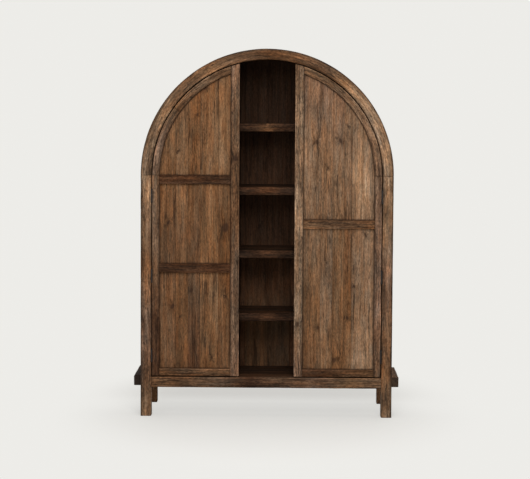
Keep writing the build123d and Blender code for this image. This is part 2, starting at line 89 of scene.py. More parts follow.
# A crack's wander: (metres aside, radians a metre, shift with its place across the face).
CRACK_WANDER = ((0.0012, 95.0, 40.0), (0.0008, 263.0, 0.0))
LIP = 0.0001  # half the least opening of a crack
CHECK_PLACES = (0.3, 0.7)  # of small drying cracks: share of each one's part of the face
CHECK_STARTS = (-0.03, 0.9)  # share of the timber's length
CHECK_SHORTEST = 0.03
CHECK_WIDTHS = (0.0007, 0.0018)
CHECK_DEPTHS = (0.0015, 0.0035)
CHECK_DRIFTS = (-0.008, 0.008)
NO_KNOT = 9.0  # in knot radii, beyond all that a knot changes
KNOT_LENGTH = 1.5  # along the grain, against across it
GRAIN_SPREAD = 9.0  # how far apart in the grain's texture two timbers may lie

# ---- Rounded edges: the radii of four corners, from the low side of the face that shows ----
FRAME_ROUNDS = (0.0085, 0.0085, 0.0014, 0.0014)
REAR_FRAME_ROUNDS = (0.0045, 0.0045, 0.0014, 0.0014)
STILE_ROUNDS = (0.0040, 0.0040, 0.0014, 0.0014)
ARCH_STILE_ROUNDS = (0.0040, 0.0050, 0.0014, 0.0014)
RAIL_ROUNDS = (0.0040,) * 4
RUNNER_ROUNDS = (0.0055,) * 4
BOARD_ROUNDS = (0.0015,) * 4
PARTITION_ROUNDS = (0.0040,) * 4
SHELF_ROUNDS = (0.0040, 0.0015, 0.0015, 0.0040)

# ---- How the CAD divides its nodes into boards ----
ARCH_SEGMENTS = 6
STAVES = 24
SIDE_BOARDS = 4
BACK_BOARDS = 10
FLOOR_BOARDS = 4
SIDE_SHELVES = 3
SHELF_PLANKS = 3
LEFT_BOARD_SHARES = (24, 21, 14, 14, 27)  # relative widths, from the meeting edge outwards
RIGHT_BOARD_SHARES = (30, 14, 13, 9, 34)
HINGES = 3

# ---- Fits ----
SEAT = 0.0008  # timbers run this far into what holds their ends
REAR_INSET = 0.002  # the rear frame's inner face behind the back boards' faces
HINGE_HALF = 0.038  # half a hinge's height
PIN_HEAD = 0.002
POCKET_CLEARANCE = 0.0003
BARREL_CLEARANCE = 0.0005
CRISP = 0.0001  # half the distance between two sections or points at a sharp step
PANEL_GAP = 0.0003
FRAME_DIRT_AND_SHADE_REACH = 0.009  # how far dirt and painted shade spread from a door's frame over its boards

# ---- Tones of the old timber, sRGB ----
STRAW = (0.600, 0.495, 0.405)
WHEAT = (0.545, 0.440, 0.350)
TAN = (0.470, 0.366, 0.282)
HONEY = (0.455, 0.338, 0.240)
AMBER = (0.430, 0.300, 0.195)
CHESTNUT = (0.395, 0.284, 0.198)
OLIVE = (0.415, 0.325, 0.228)
ROSE = (0.458, 0.355, 0.286)
DRIFTWOOD = (0.408, 0.318, 0.250)
RUSSET = (0.328, 0.224, 0.156)
UMBER = (0.342, 0.256, 0.190)
WALNUT = (0.272, 0.182, 0.124)
MURK = (0.240, 0.164, 0.116)
SOOT = (0.205, 0.140, 0.098)
PITCH = (0.178, 0.124, 0.090)
END_GRAIN = (0.185, 0.152, 0.132)


# ---- Reading the frame ----
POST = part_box("front_post_right")
REAR_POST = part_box("rear_post_right")
INNER_RADIUS = POST[0].x
OUTER_RADIUS = POST[1].x
SPRING = POST[1].z
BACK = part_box("back_boards")
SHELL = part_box("side_boards_right")
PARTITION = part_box("partition_right")
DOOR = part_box("right_door_boards")
DOOR_RADIUS = DOOR[1].x
INNER_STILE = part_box("right_door_inner_stile")
OUTER_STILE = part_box("right_door_outer_stile")


def linear(colour):
    """An sRGB colour in the renderer's own linear values."""
    return [c / 12.92 if c <= 0.04045 else ((c + 0.055) / 1.055) ** 2.4 for c in colour]


def placed(name, data):
    """A new object of that data in the scene."""
    thing = bpy.data.objects.new(name, data)
    bpy.context.scene.collection.objects.link(thing)
    return thing


def dice_for(name):
    """Random numbers that are the same each run and differ from piece to piece."""
    return np.random.default_rng(crc32(name.encode()))


# ---- Swept timber ----
def ripple(u, v, dice, u_range=(1.0, 7.0), v_range=(5.0, 30.0), waves=6):
    """Smooth waves from about 0 to 1 over two lengths in metres."""
    total = 0.0
    for _ in range(waves):
        u_pitch, v_pitch = dice.uniform(*u_range), dice.uniform(*v_range)
        total = total + np.sin(2 * pi * (u_pitch * u + v_pitch * v) + dice.uniform(0, 2 * pi))
    return np.clip(0.5 + 0.8 * total / waves, 0, 1)


def stations(length, step, pocket):
    """Places of the sections along a timber, with more at its rounded ends and at a pocket's walls."""
    inner = np.linspace(END_ROUND, length - END_ROUND, max(2, round(length / step)))
    near = np.array([0.0, 0.3 * END_ROUND, END_ROUND + END_DIRT_AND_SHADE])
    walls = []
    if pocket:
        edges = np.array(pocket["spans"]).ravel()
        walls = np.concatenate([edges - CRISP, edges + CRISP])
    return np.sort(np.concatenate([near, inner, length - near, walls]))


def sink_pocket(s, across, through, half_across, pocket):
    """Moves the points inside a hinge's pocket down to its bottom."""
    inside = np.zeros(s.shape, bool)
    for low, high in pocket["spans"]:
        inside |= (s > low) & (s < high)
    hit = inside[:, None] & (through < pocket["wall"])
    bottom = (half_across - pocket["depth"])[:, None]
    if pocket["side"] == 1:
        return np.where(hit, np.minimum(across, bottom), across)
    return np.where(hit, np.maximum(across, -bottom), across)


def end_inset(s):
    """How far a timber's faces draw in at its rounded ends."""
    reach = np.clip(np.minimum(s, s[-1] - s) / END_ROUND, 0, 1)
    return END_ROUND * (1 - np.sqrt(1 - (1 - reach) ** 2))


def near_end(distance):
    """1 at a timber's end, and 0 beyond the dirt and painted shade that gather there."""
    return np.clip(1 - (distance - END_ROUND) / END_DIRT_AND_SHADE, 0, 1)


def worn_radius(s, base, chips, dice):
    """A corner's radius along a timber, with a chip here and there."""
    least, more = RADIUS_SHARES
    radius = base * (least + more * ripple(s, 0 * s, dice))
    for _ in range(dice.poisson(chips * s[-1])):
        middle = dice.uniform(0, s[-1])
        length = dice.uniform(*CHIP_LENGTHS)
        radius = radius + base * dice.uniform(*CHIP_DEPTHS) * np.exp(-(((s - middle) / length) ** 2))
    return radius


def crack_lines(s, start, end, crack):
    """A crack's two lips and its bottom: (place across the face, depth) for each."""
    _, at, drift, first, last, width, depth = crack
    middle, half = (first + last) / 2 * s[-1], (last - first) / 2 * s[-1]
    opening = np.sqrt(np.clip(1 - ((s - middle) / half) ** 2, 0, 1))
    wander = sum(aside * np.sin(s * waves + at * shift) for aside, waves, shift in CRACK_WANDER)
    place = start + (end - start) * at + drift * np.clip(s - middle, -half, half) + wander * opening
    lip = LIP + width / 2 * opening
    return [(place - lip, 0 * s), (place, depth * opening), (place + lip, 0 * s)]


def section_columns(s, half_across, half_through, radii, cracks, pocket, edges, step):
    """The points round a timber's section, one column along the timber for each.

    Returns their places across and through the timber, the outward direction, and how dark dirt and
    painted shade make each, or below 0 how pale a painted highlight makes it.
    """
    normals = [(0, -1), (1, 0), (0, 1), (-1, 0)]
    halves = [half_across, half_through, half_across, half_through]
    offsets = [half_through, half_across, half_through, half_across]
    columns = []
    for side in range(4):
        normal, along = normals[side], normals[(side + 1) % 4]
        first, second = radii[side], radii[(side + 1) % 4]
        start, end = first - halves[side], halves[side] - second
        guides = [(start, 0 * s)]
        for crack in sorted(c for c in cracks if c[0] == side):
            guides += crack_lines(s, start, end, crack)
        if pocket and pocket["side"] == side:
            wall = pocket["wall"] * (1 if side == 1 else -1)
            guides += [(wall + 0 * s - CRISP, 0 * s), (wall + 0 * s + CRISP, 0 * s)]
        guides.append((end, 0 * s))
        near, far = edges[side], edges[(side + 1) % 4]
        for (low, low_depth), (high, high_depth) in zip(guides, guides[1:]):
            count = max(1, round(float(np.mean(high - low)) / step))
            for i in range(count):
                t = low + (high - low) * i / count
                sunk = low_depth + (high_depth - low_depth) * i / count
                # Dirt and painted shade near a corner and at a crack's bottom; on the rounded corners below,
                # a value under 0 is a painted highlight.
                dirt_and_shade = max(near, 0.0) / 2 + np.clip(sunk / CRACK_DIRT_AND_SHADE, 0, 1)
                columns.append((t, offsets[side] - sunk, along, normal, dirt_and_shade))
                near = 0.0
        columns.append((end, offsets[side], along, normal, max(far, 0.0) / 2))
        for i in range(1, CORNER_STEPS):
            turn = pi / 2 * i / CORNER_STEPS
            t = end + second * sin(turn)
            away = offsets[side] - second * (1 - cos(turn))
            columns.append((t, away, along, normal, far))
    across = np.stack([t * a[0] + away * n[0] for t, away, a, n, _ in columns], 1)
    through = np.stack([t * a[1] + away * n[1] for t, away, a, n, _ in columns], 1)
    outward = np.array([n for _, _, _, n, _ in columns], float)
    corner = np.stack([c + 0 * s for *_, c in columns], 1)
    return across, through, outward, corner


def timber(
    dice,
    size,
    place,
    axes,
    tones,
    rounds,
    chips=3.0,
    sway=SWAY,
    edge_sway=SWAY,
    step=1.0,
    cracks=(),
    knots=(),
    pocket=None,
    edges=(0.3, 0.3, 0.3, 0.3),
    joints=(OPEN_JOINT, OPEN_JOINT),
    grain_at=None,
    behind=None,
):
    """One length of timber as points, faces and the values its material reads.

    size is its length, width and depth, and place(s, across, through) gives the points' places. axes is the
    grain's frame (across, along, through), or None where the grain follows the timber. rounds are the radii
    of the four corners, from the low side of the face that shows. edges says how dark dirt and painted shade
    make each corner, or below 0 how pale a painted highlight makes it, and joints how dark dirt and painted
    shade make its two ends. grain_at is its start's place in the grain's texture, where that isn't left to
    chance, and behind the tones away from view.
    """
    length, width, depth = size
    s = stations(length, STATION_STEP * step, pocket)
    inset = end_inset(s)
    half_across, half_through = width / 2 - inset, depth / 2 - inset
    limit = 0.98 * np.minimum(half_across, half_through)
    radii = [np.minimum(worn_radius(s, r, chips, dice), limit) for r in rounds]
    across, through, outward, corner = section_columns(
        s, half_across, half_through, radii, cracks, pocket, edges, RING_STEP * step
    )
    around = np.arange(across.shape[1]) * RING_STEP * step
    sunk = ripple(s[:, None], around[None, :] * 0.5, dice)
    across = across - edge_sway * sunk * outward[:, 0]
    through = through - sway * sunk * outward[:, 1]
    if pocket:
        across = sink_pocket(s, across, through, half_across, pocket)
    points = place(s[:, None], across, through)
    rows, count = across.shape
    index = np.arange(rows * count).reshape(rows, count)
    following = np.roll(index, -1, axis=1)
    sides = np.stack([index[:-1], following[:-1], following[1:], index[1:]], -1).reshape(-1, 4)
    flat = points.reshape(-1, 3)
    centre = flat.mean(0)
    first, second, third = (flat[sides[:, i]] - centre for i in range(3))
    inside_out = np.einsum("ij,ij->i", first, np.cross(second, third)).sum() < 0
    caps = [index[0][::-1], index[-1]]
    if inside_out:
        sides = sides[:, ::-1]
        caps = [cap[::-1] for cap in caps]
    shades = np.repeat(shade_along(s, tones), count, axis=0)
    if behind:
        others = np.repeat(shade_along(s, behind), count, axis=0)
        shades = np.where(through.reshape(-1, 1) > 0, others, shades)
    if grain_at is None:
        grain_at = dice.uniform(-GRAIN_SPREAD, GRAIN_SPREAD, 3)
    joint_dirt_and_shade = joints[0] * near_end(s) + joints[1] * near_end(length - s)
    along_all, _ = np.broadcast_arrays(s[:, None], across)
    if axes is None:
        grain = np.stack([across, along_all, through], -1).reshape(-1, 3)
    else:
        grain = flat @ np.array(axes).T
    values = {
        "grain": grain + grain_at,
        "tone": shades,
        # x: dirt and painted shade at corners and cracks, below 0 a painted highlight; y: end caps; z: dirt
        # and painted shade at joints
        "wear": np.stack([corner.ravel(), 0 * flat[:, 0], np.repeat(joint_dirt_and_shade, count)], 1),
    }
    for number in range(2):
        values[f"knot_{number}"] = knot_distance(along_all, across, length, width, knots, number)
    return {"points": flat, "sides": sides, "caps": caps, "values": values}


def shade_along(s, tones):
    """The timber's linear colour at each section, where tones run evenly from its start to its end."""
    colours = np.array([linear(tone) for tone in tones])
    spots = np.linspace(0, s[-1], len(tones)) if len(tones) > 1 else np.array([0.0])
    return np.stack([np.interp(s, spots, colours[:, i]) for i in range(3)], 1)


def knot_distance(s, across, length, width, knots, number):
    """Distance from a knot in knot radii, across and along the grain, or far away where there is none."""
    if number >= len(knots):
        return np.full((across.size, 3), NO_KNOT)
    along_share, across_share, radius = knots[number]
    dx = (across - (across_share - 0.5) * width) / radius
    dy = (s - along_share * length) / (KNOT_LENGTH * radius)
    return np.stack([dx.ravel(), dy.ravel(), 0 * dx.ravel()], 1)


def straight(dice, low, high, along, face, tones, rounds, top=None, **options):
    """A straight timber in a box. along is its grain's axis and face, (axis, sign), the side that shows.

    top(x) gives the height of an arched top end, for upright timber.
    """
    low, high = np.array(low, float), np.array(high, float)
    middle, size = (low + high) / 2, high - low
    side = 3 - along - face[0]
    unit = np.eye(3)
    a_axis, s_axis, b_axis = unit[side], unit[along], -face[1] * unit[face[0]]
    length = size[along]

    def place(s, across, through):
        points = middle + across[..., None] * a_axis + through[..., None] * b_axis
        points = points + (s - length / 2)[..., None] * s_axis
        if top is not None:
            share = (points[..., 2] - low[2]) / length
            points[..., 2] = low[2] + share * (top(points[..., 0]) - low[2])
        return points

    axes = (a_axis, s_axis, b_axis)
    extent = (length, size[side], size[face[0]])
    if "knots" in options:
        options["knots"] = [
            (share_along(z, low[along], length, x, top), (x - low[side]) / size[side], radius)
            for x, z, radius in options["knots"]
        ]
    return timber(dice, extent, place, axes, tones, rounds, **options)


def share_along(value, low, length, x, top):
    """How far along a straight timber a height is, as a share of its length there."""
    return (value - low) / (length if top is None else top(x) - low)


def curved(dice, radii, depths, start, end, tones, rounds, end_x=None, **options):
    """A timber bent along the arch between two angles, seen from the side of depths[0].

    end_x gives the upright plane that cuts its far end, instead of a square end.
    """
    middle_radius = sum(radii) / 2
    middle_depth = sum(depths) / 2
    through_sign = 1.0 if depths[1] > depths[0] else -1.0
    length = middle_radius * (end - start)

    def place(s, across, through):
        radius = middle_radius + across
        last = end if end_x is None else np.arccos(np.clip(end_x / radius, -1, 1))
        angle = start + s / length * (last - start)
        depth = middle_depth + through_sign * through
        return np.stack([radius * np.cos(angle), depth, SPRING + radius * np.sin(angle)], -1)

    width, depth = radii[1] - radii[0], abs(depths[1] - depths[0])
    return timber(dice, (length, width, depth), place, None, tones, rounds, **options)


def mirrored(parts):
    """The left-hand twins of right-hand timbers."""
    for part in parts:
        part["points"] = part["points"] * np.array([-1, 1, 1])
        part["sides"] = part["sides"][:, ::-1]
        part["caps"] = [cap[::-1] for cap in part["caps"]]
    return parts


def assemble(name, parts):
    """One mesh object of several timbers, with the values their material reads on its face corners."""
    points, faces, corners, ends = [], [], [], []
    offset = 0
    for part in parts:
        polygons = [list(p + offset) for p in part["sides"]] + [list(p + offset) for p in part["caps"]]
        faces += polygons
        points.append(part["points"])
        corners.append(np.concatenate([part["sides"].ravel(), *part["caps"]]) + offset)
        side_count, cap_count = part["sides"].size, sum(len(cap) for cap in part["caps"])
        ends.append(np.concatenate([np.zeros(side_count), np.ones(cap_count)]))
        offset += len(part["points"])
    mesh = bpy.data.meshes.new(name)
    mesh.from_pydata(np.concatenate(points).tolist(), [], faces)
    corner_index = np.concatenate(corners)
    for key in parts[0]["values"]:
        values = np.concatenate([part["values"][key] for part in parts])[corner_index]
        if key == "wear":
            values[:, 1] = np.concatenate(ends)
        attribute = mesh.attributes.new(key, "FLOAT_VECTOR", "CORNER")
        attribute.data.foreach_set("vector", values.astype(np.float32).ravel())
    mesh.polygons.foreach_set("use_smooth", [True] * len(mesh.polygons))
    return placed(name, mesh)


def dress(node, parts, material, body="carcass"):
    """Puts the timbers in the place of a CAD node."""
    piece = assemble(f"{node}_timber", parts)
    piece.data.materials.append(material)
    normals = piece.modifiers.new("normals", "WEIGHTED_NORMAL")
    normals.keep_sharp = True
    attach(piece, body)
    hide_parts(node)
    return piece


def shares(low, high, parts):
    """(low, high) pairs that divide a length by relative widths."""
    edges = low + (high - low) * np.cumsum([0, *parts]) / sum(parts)
    return list(zip(edges[:-1], edges[1:]))


# ---- Node materials ----
class Graph:
    """A node tree, with short calls for the nodes it is made of."""

    def __init__(self, tree):
        self.tree = tree

    def put(self, socket, value):
        if isinstance(value, bpy.types.NodeSocket):
            self.tree.links.new(value, socket)
        else:
            socket.default_value = value

    def add(self, kind, inputs, **settings):
        node = self.tree.nodes.new(kind)
        for key, value in settings.items():
            setattr(node, key, value)
        for key, value in inputs.items():
            self.put(node.inputs[key], value)
        return node

    def read(self, name):
        return self.add("ShaderNodeAttribute", {}, attribute_name=name).outputs["Vector"]

    def math(self, operation, a, b=0.0, c=0.0):
        return self.add("ShaderNodeMath", {0: a, 1: b, 2: c}, operation=operation).outputs[0]

    def product(self, first, *others):
        for other in others:
            first = self.math("MULTIPLY", first, other)
        return first

    def times(self, vector, factors):
        node = self.add("ShaderNodeVectorMath", {0: vector, 1: factors}, operation="MULTIPLY")
        return node.outputs[0]

    def plus(self, a, b):
        return self.add("ShaderNodeVectorMath", {0: a, 1: b}, operation="ADD").outputs[0]

    def length(self, vector):
        return self.add("ShaderNodeVectorMath", {0: vector}, operation="LENGTH").outputs["Value"]

    def split(self, vector):
        return self.add("ShaderNodeSeparateXYZ", {0: vector}).outputs

    def join(self, x, y, z):
        return self.add("ShaderNodeCombineXYZ", {0: x, 1: y, 2: z}).outputs[0]

    def noise(self, vector, detail=3.0, roughness=0.55):
        inputs = {"Vector": vector, "Scale": 1.0, "Detail": detail, "Roughness": roughness}
        return self.add("ShaderNodeTexNoise", inputs)

    def grey(self, vector, detail=3.0, roughness=0.55):
        return self.noise(vector, detail, roughness).outputs["Fac"]

    def stretched(self, place, across, along, detail=3.0, roughness=0.55):
        return self.grey(self.times(place, (across, along, across)), detail, roughness)

    def span(self, value, low, high, out_low=0.0, out_high=1.0):
        inputs = {0: value, 1: low, 2: high, 3: out_low, 4: out_high}
        return self.add("ShaderNodeMapRange", inputs, interpolation_type="SMOOTHSTEP").outputs[0]

    def mix(self, factor, a, b, blend="MIX"):
        node = self.add("ShaderNodeMix", {}, data_type="RGBA", blend_type=blend)
        self.put(node.inputs[0], factor)
        self.put(node.inputs[6], a)
        self.put(node.inputs[7], b)
        return node.outputs[2]

    def tinted(self, factor, colour, tint):
        return self.mix(factor, colour, self.mix(1.0, colour, tint, "MULTIPLY"))


class Look(Graph):
    """The graph of a new material, from its Principled shader."""

    def __init__(self, name):
        self.material = bpy.data.materials.new(name)
        self.material.use_nodes = True
        super().__init__(self.material.node_tree)
        self.shader = self.tree.nodes["Principled BSDF"]

    def bump(self, height, strength, distance):
        inputs = {"Height": height, "Strength": strength, "Distance": distance}
        self.put(self.shader.inputs["Normal"], self.add("ShaderNodeBump", inputs).outputs[0])


def rgba(colour):
    """A linear colour with full alpha from an sRGB one."""
    return (*linear(colour), 1.0)


# ---- Looks of the timber: noise layers as (across, along, low, high, darker by, paler by, detail) ----
GRAIN_LAYERS = {
    "streaks": (38.0, 1.3, 0.32, 0.68, 0.22, 0.18, 5.0),
    "broad": (9.0, 1.2, 0.34, 0.66, 0.20, 0.16, 3.0),
    "fibres": (430.0, 6.0, 0.32, 0.68, 0.12, 0.10, 3.0),
    "mottling": (24.0, 8.0, 0.34, 0.66, 0.18, 0.14, 7.0),
    "thin_lines": (115.0, 4.5, 0.36, 0.64, 0.18, 0.14, 2.0),
    "dark_flecks": (170.0, 22.0, 0.64, 0.57, 0.40, 0.0, 2.0),
    "worn_fibres": (180.0, 60.0, 0.36, 0.64, 0.24, 0.20, 2.0),
    "pores": (620.0, 22.0, 0.70, 0.62, 0.25, 0.0, 1.0),
    "blotches": (13.0, 3.8, 0.38, 0.62, 1.0, 0.8, 3.0),  # as strong as a timber's own blotch says
}
LAYER_ROUGHNESS = 0.6
PATCHES = {  # where something shows: noise as (across, along, detail, roughness, from, to)
    "reddish": (15.0, 2.6, 3.0, 0.55, 0.42, 0.64),
    "ruddy": (62.0, 8.0, 3.0, 0.55, 0.38, 0.62),
    "silver": (26.0, 4.5, 6.0, 0.65, 0.50, 0.66),
    "cracked": (14.0, 4.0, 3.0, 0.55, 0.52, 0.58),
}
EDGE_DIRT_SHADE_AND_HIGHLIGHT_PATCHES = (0.35, 0.65, 0.65, 1.0)  # of dirt, painted shade and painted highlights at edges and joints: from, to, least and most
# Dirt and painted shade along a door's frame:
FRAME_DIRT_AND_SHADE_PATCHES = (0.3, 0.6, 0.55, 1.0)
FRAME_DIRT_AND_SHADE_NOISE = (60.0, 60.0, 25.0)
FRAME_DIRT_AND_SHADE_START = 0.001
WOOD_ROUGHNESS = (0.3, 0.7, 0.82, 0.62)
GRAIN_DRIFT = 0.045  # how far the grain wanders aside
DRIFT_NOISE = (5.0, 0.9, 5.0)
KNOT_PUSH = 0.012  # and how far a knot pushes it
KNOT_SHADE = -0.32
KNOT_CORE = (0.55, 1.05)  # in knot radii
KNOT_HALO = (0.8, 3.0)
RING_PITCH = 420.0  # radians a metre
RING_DRIFT = 34.0  # radians, by the broad layer
RING_SHARPNESS = 2.5
RING_SHADE = -0.14
RING_BASE = 1.05
CRACK_LINE = (0.008, 0.026)  # from a crack's middle to its lips, in the noise that draws it
CRACK_NOISE = (30.0, 0.8, 2.0)
RELIEF = {"fibres": 0.35, "streaks": 0.8, "rings": -0.15, "cracks": -1.0, "knots": -0.4}
BUMP = (0.6, 0.0018)
# Tints that multiply the timber's colour, and shares of them.
WARM_TINT = (1.14, 0.97, 0.78, 1.0)
PALE_TINT = (0.95, 1.01, 1.04, 1.0)
RUDDY_TINT = (1.06, 0.985, 0.90, 1.0)
FADED_TINT = (0.93, 1.02, 1.15, 1.0)
# Dirt and painted shade at edges, joints and crack bottoms.
DIRT_AND_SHADE_TINT = (0.22, 0.19, 0.17, 1.0)
# A painted highlight on rounded edges.
PAINTED_HIGHLIGHT_TINT = (1.9, 1.9, 2.0, 1.0)
# What covers it, sRGB, and by how much.
END_COVER = (END_GRAIN, 0.7)
CRACK_COVER = ((0.12, 0.08, 0.055), 0.6)
KNOT_COVER = ((0.17, 0.11, 0.08), 0.68)
# dirt and painted shade along a door's frame
FRAME_DIRT_AND_SHADE_COVER = ((0.13, 0.085, 0.06), 0.7)
RUST = (0.30, 0.15, 0.08)
STAIN_SHARE = 0.55  # a stain's brightness against the metal's


def panel_dirt_and_shade(g, stile_edge, arch_edge, levels):
    """Dirt and painted shade where a door's boards meet its stiles and rails, from 0 to 1, as a socket."""
    place = g.add("ShaderNodeTexCoord", {}).outputs["Object"]
    x, y, z = g.split(place)
    in_front = g.math("LESS_THAN", y, (DOOR[0].y + DOOR[1].y) / 2)
    x = g.math("ABSOLUTE", x)
    above = g.math("MAXIMUM", g.math("SUBTRACT", z, SPRING), 0.0)
    from_axis = g.length(g.join(x, 0.0, above))
    gaps = [g.math("SUBTRACT", x, stile_edge), g.math("SUBTRACT", arch_edge, from_axis)]
    gaps += [g.math("ABSOLUTE", g.math("SUBTRACT", z, level)) for level in levels]
    nearest = gaps[0]
    for gap in gaps[1:]:
        nearest = g.math("MINIMUM", nearest, gap)
    ragged = g.grey(g.times(place, FRAME_DIRT_AND_SHADE_NOISE))
    near = g.product(g.span(nearest, FRAME_DIRT_AND_SHADE_START, FRAME_DIRT_AND_SHADE_REACH, 1.0, 0.0), in_front)
    return g.product(near, g.span(ragged, *FRAME_DIRT_AND_SHADE_PATCHES))


def bend_grain(g, grain, knots):
    """The grain's place in its texture, bent by its drift and knots, and how much of a knot is there."""
    drift = g.noise(g.times(grain, DRIFT_NOISE), 2.0).outputs["Color"]
    centred = g.plus(drift, (-0.5, -0.5, -0.5))
    bent = g.plus(grain, g.times(centred, (GRAIN_DRIFT, 0.0, GRAIN_DRIFT)))
    cores, halos = 0.0, 0.0
    for knot in knots:
        away = g.length(knot)
        halo = g.span(away, *KNOT_HALO, 1.0, 0.0)
        cores = g.math("MAXIMUM", cores, g.span(away, *KNOT_CORE, 1.0, 0.0))
        halos = g.math("MAXIMUM", halos, halo)
        aside = g.span(g.split(knot)[0], -1.0, 1.0, -1.0, 1.0)
        bent = g.plus(bent, g.join(g.product(halo, KNOT_PUSH, aside), 0.0, 0.0))
    return bent, cores, halos


def patch(g, place, name):
    """1 in some patches of the timber and 0 in the others."""
    across, along, detail, roughness, low, high = PATCHES[name]
    return g.span(g.stretched(place, across, along, detail, roughness), low, high)


def grain_shade(g, bent, contrast, blotch):
    """How light the grain makes its timber, its streaks and fibres, and its growth rings."""
    fields, light = {}, 1.0
    for layer, (across, along, low, high, dark, pale, detail) in GRAIN_LAYERS.items():
        depth = contrast * (blotch if layer == "blotches" else 1.0)
        fields[layer] = g.stretched(bent, across, along, detail, LAYER_ROUGHNESS)
        light = g.product(light, g.span(fields[layer], low, high, 1 - dark * depth, 1 + pale * depth))
    x, _, z = g.split(bent)
    turns = g.product(g.math("ADD", x, z), RING_PITCH)
    phase = g.math("MULTIPLY_ADD", fields["broad"], RING_DRIFT, turns)
    wave = g.math("MULTIPLY_ADD", g.math("SINE", phase), 0.5, 0.5)
    rings = g.math("POWER", wave, RING_SHARPNESS)
    light = g.product(light, g.math("MULTIPLY_ADD", rings, RING_SHADE * contrast, RING_BASE))
    return light, fields["streaks"], fields["fibres"], rings


def wood(name, tone=None, patina=0.4, warmth=0.5, contrast=1.0, gloss=0.08, blotch=0.0, frame_dirt_and_shade=None):
    """Old timber: streaks, growth rings, fibres, flecks, grey patina, cracks, knots, dirt with painted shade,
    and worn edges with painted highlights.

    It reads each timber's own grain, tone, and dirt, painted shade and painted highlights, or without them
    the object's place and one tone. The last argument is what the dirt and painted shade along a door's frame
    needs, after the graph.
    """
    g = Look(name)
    if tone is None:
        grain, base = g.read("grain"), g.read("tone")
        edge_dirt_shade_highlight, end, joint_dirt_and_shade = g.split(g.read("wear"))
        knots = [g.read("knot_0"), g.read("knot_1")]
    else:
        grain = g.add("ShaderNodeTexCoord", {}).outputs["Object"]
        base, edge_dirt_shade_highlight, end, joint_dirt_and_shade, knots = rgba(tone), 0.0, 0.0, 0.0, []
    bent, knot_core, knot_halo = bend_grain(g, grain, knots)
    light, streaks, fibres, rings = grain_shade(g, bent, contrast, blotch)
    light = g.product(light, g.math("MULTIPLY_ADD", knot_halo, KNOT_SHADE, 1.0))
    lines = g.math("ABSOLUTE", g.math("SUBTRACT", g.stretched(bent, *CRACK_NOISE), 0.5))
    cracks = g.product(g.span(lines, *CRACK_LINE, 1.0, 0.0), patch(g, grain, "cracked"))
    colour = g.mix(1.0, base, g.join(light, light, light), "MULTIPLY")
    colour = g.tinted(g.product(patch(g, grain, "reddish"), warmth), colour, WARM_TINT)
    colour = g.tinted(1.0, colour, g.mix(patch(g, bent, "ruddy"), PALE_TINT, RUDDY_TINT))
    colour = g.tinted(g.product(patch(g, grain, "silver"), patina), colour, FADED_TINT)
    patchy = g.span(streaks, *EDGE_DIRT_SHADE_AND_HIGHLIGHT_PATCHES)
    # Dirt and painted shade darken edges, crack bottoms and joints; a negative edge value paints a pale
    # highlight.
    colour = g.tinted(g.product(g.math("MAXIMUM", edge_dirt_shade_highlight, joint_dirt_and_shade), patchy), colour, DIRT_AND_SHADE_TINT)
    painted_highlight = g.product(g.math("MINIMUM", edge_dirt_shade_highlight, 0.0), -1.0, patchy)
    colour = g.tinted(painted_highlight, colour, PAINTED_HIGHLIGHT_TINT)
    covers = [(end, END_COVER), (cracks, CRACK_COVER), (knot_core, KNOT_COVER)]
    if frame_dirt_and_shade is not None:
        covers.append((panel_dirt_and_shade(g, *frame_dirt_and_shade), FRAME_DIRT_AND_SHADE_COVER))
    for place, (cover, share) in covers:
        colour = g.mix(g.product(place, share), colour, rgba(cover))
    g.put(g.shader.inputs["Base Color"], colour)
    g.put(g.shader.inputs["Roughness"], g.span(streaks, *WOOD_ROUGHNESS))
    g.shader.inputs["Specular IOR Level"].default_value = gloss
    height = g.product(streaks, RELIEF["streaks"])
    features = {"fibres": fibres, "rings": rings, "cracks": cracks, "knots": knot_core}
    for feature, socket in features.items():
        height = g.math("MULTIPLY_ADD", socket, RELIEF[feature], height)
    g.bump(height, *BUMP)
    return g.material


def metal(name, colour, rust, metallic, roughness):
    """Old metal with stains, scratches and a little rust."""
    g = Look(name)
    place = g.add("ShaderNodeTexCoord", {}).outputs["Object"]
    stains = g.grey(g.times(place, (90.0, 90.0, 60.0)), 4.0, 0.6)
    scratches = g.grey(g.times(place, (900.0, 900.0, 60.0)), 2.0, 0.5)
    stained = rgba([c * STAIN_SHARE for c in colour])
    shade = g.mix(g.span(stains, 0.35, 0.7), rgba(colour), stained)
    spots = g.span(g.stretched(place, 210.0, 210.0), 0.60, 0.72)
    shade = g.mix(g.product(spots, rust), shade, rgba(RUST))
    g.put(g.shader.inputs["Base Color"], shade)
    g.shader.inputs["Metallic"].default_value = metallic
    g.put(g.shader.inputs["Roughness"], g.span(scratches, 0.3, 0.7, roughness - 0.1, roughness + 0.15))
    g.bump(g.math("MULTIPLY_ADD", scratches, 0.3, stains), 0.25, 0.0004)
    return g.material


def door_dirt_and_shade(side):
    """Where one door's boards meet its frame, for the dirt and painted shade there: the stiles' inner edges
    and the rails' tops.
    """
    levels = []
    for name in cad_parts:
        if name.startswith(f"{side}_door_") and "rail" in name:
            levels.append(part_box(name)[1].z)
    return INNER_STILE[1].x, OUTER_STILE[0].x, levels


TIMBER = wood("old_timber", contrast=1.3, warmth=0.7, blotch=0.22)
RAIL_TIMBER = wood("rail_timber", contrast=1.4, warmth=0.8, patina=0.1, gloss=0.05)
BOARD_TIMBER = {
    side: wood(f"{side}_door_board_timber", contrast=0.95, warmth=0.6, patina=0.4, frame_dirt_and_shade=door_dirt_and_shade(side))
    for side in ("left", "right")
}
STILE_TIMBER = wood("stile_timber", contrast=1.4, warmth=0.4, patina=0.6, blotch=0.12)
DARK_TIMBER = wood("inner_timber", contrast=0.7, warmth=0.1, patina=0.7, gloss=0.05)
SHELF_TIMBER = wood("shelf_timber", contrast=1.6, warmth=0.6, patina=0.1, gloss=0.05)


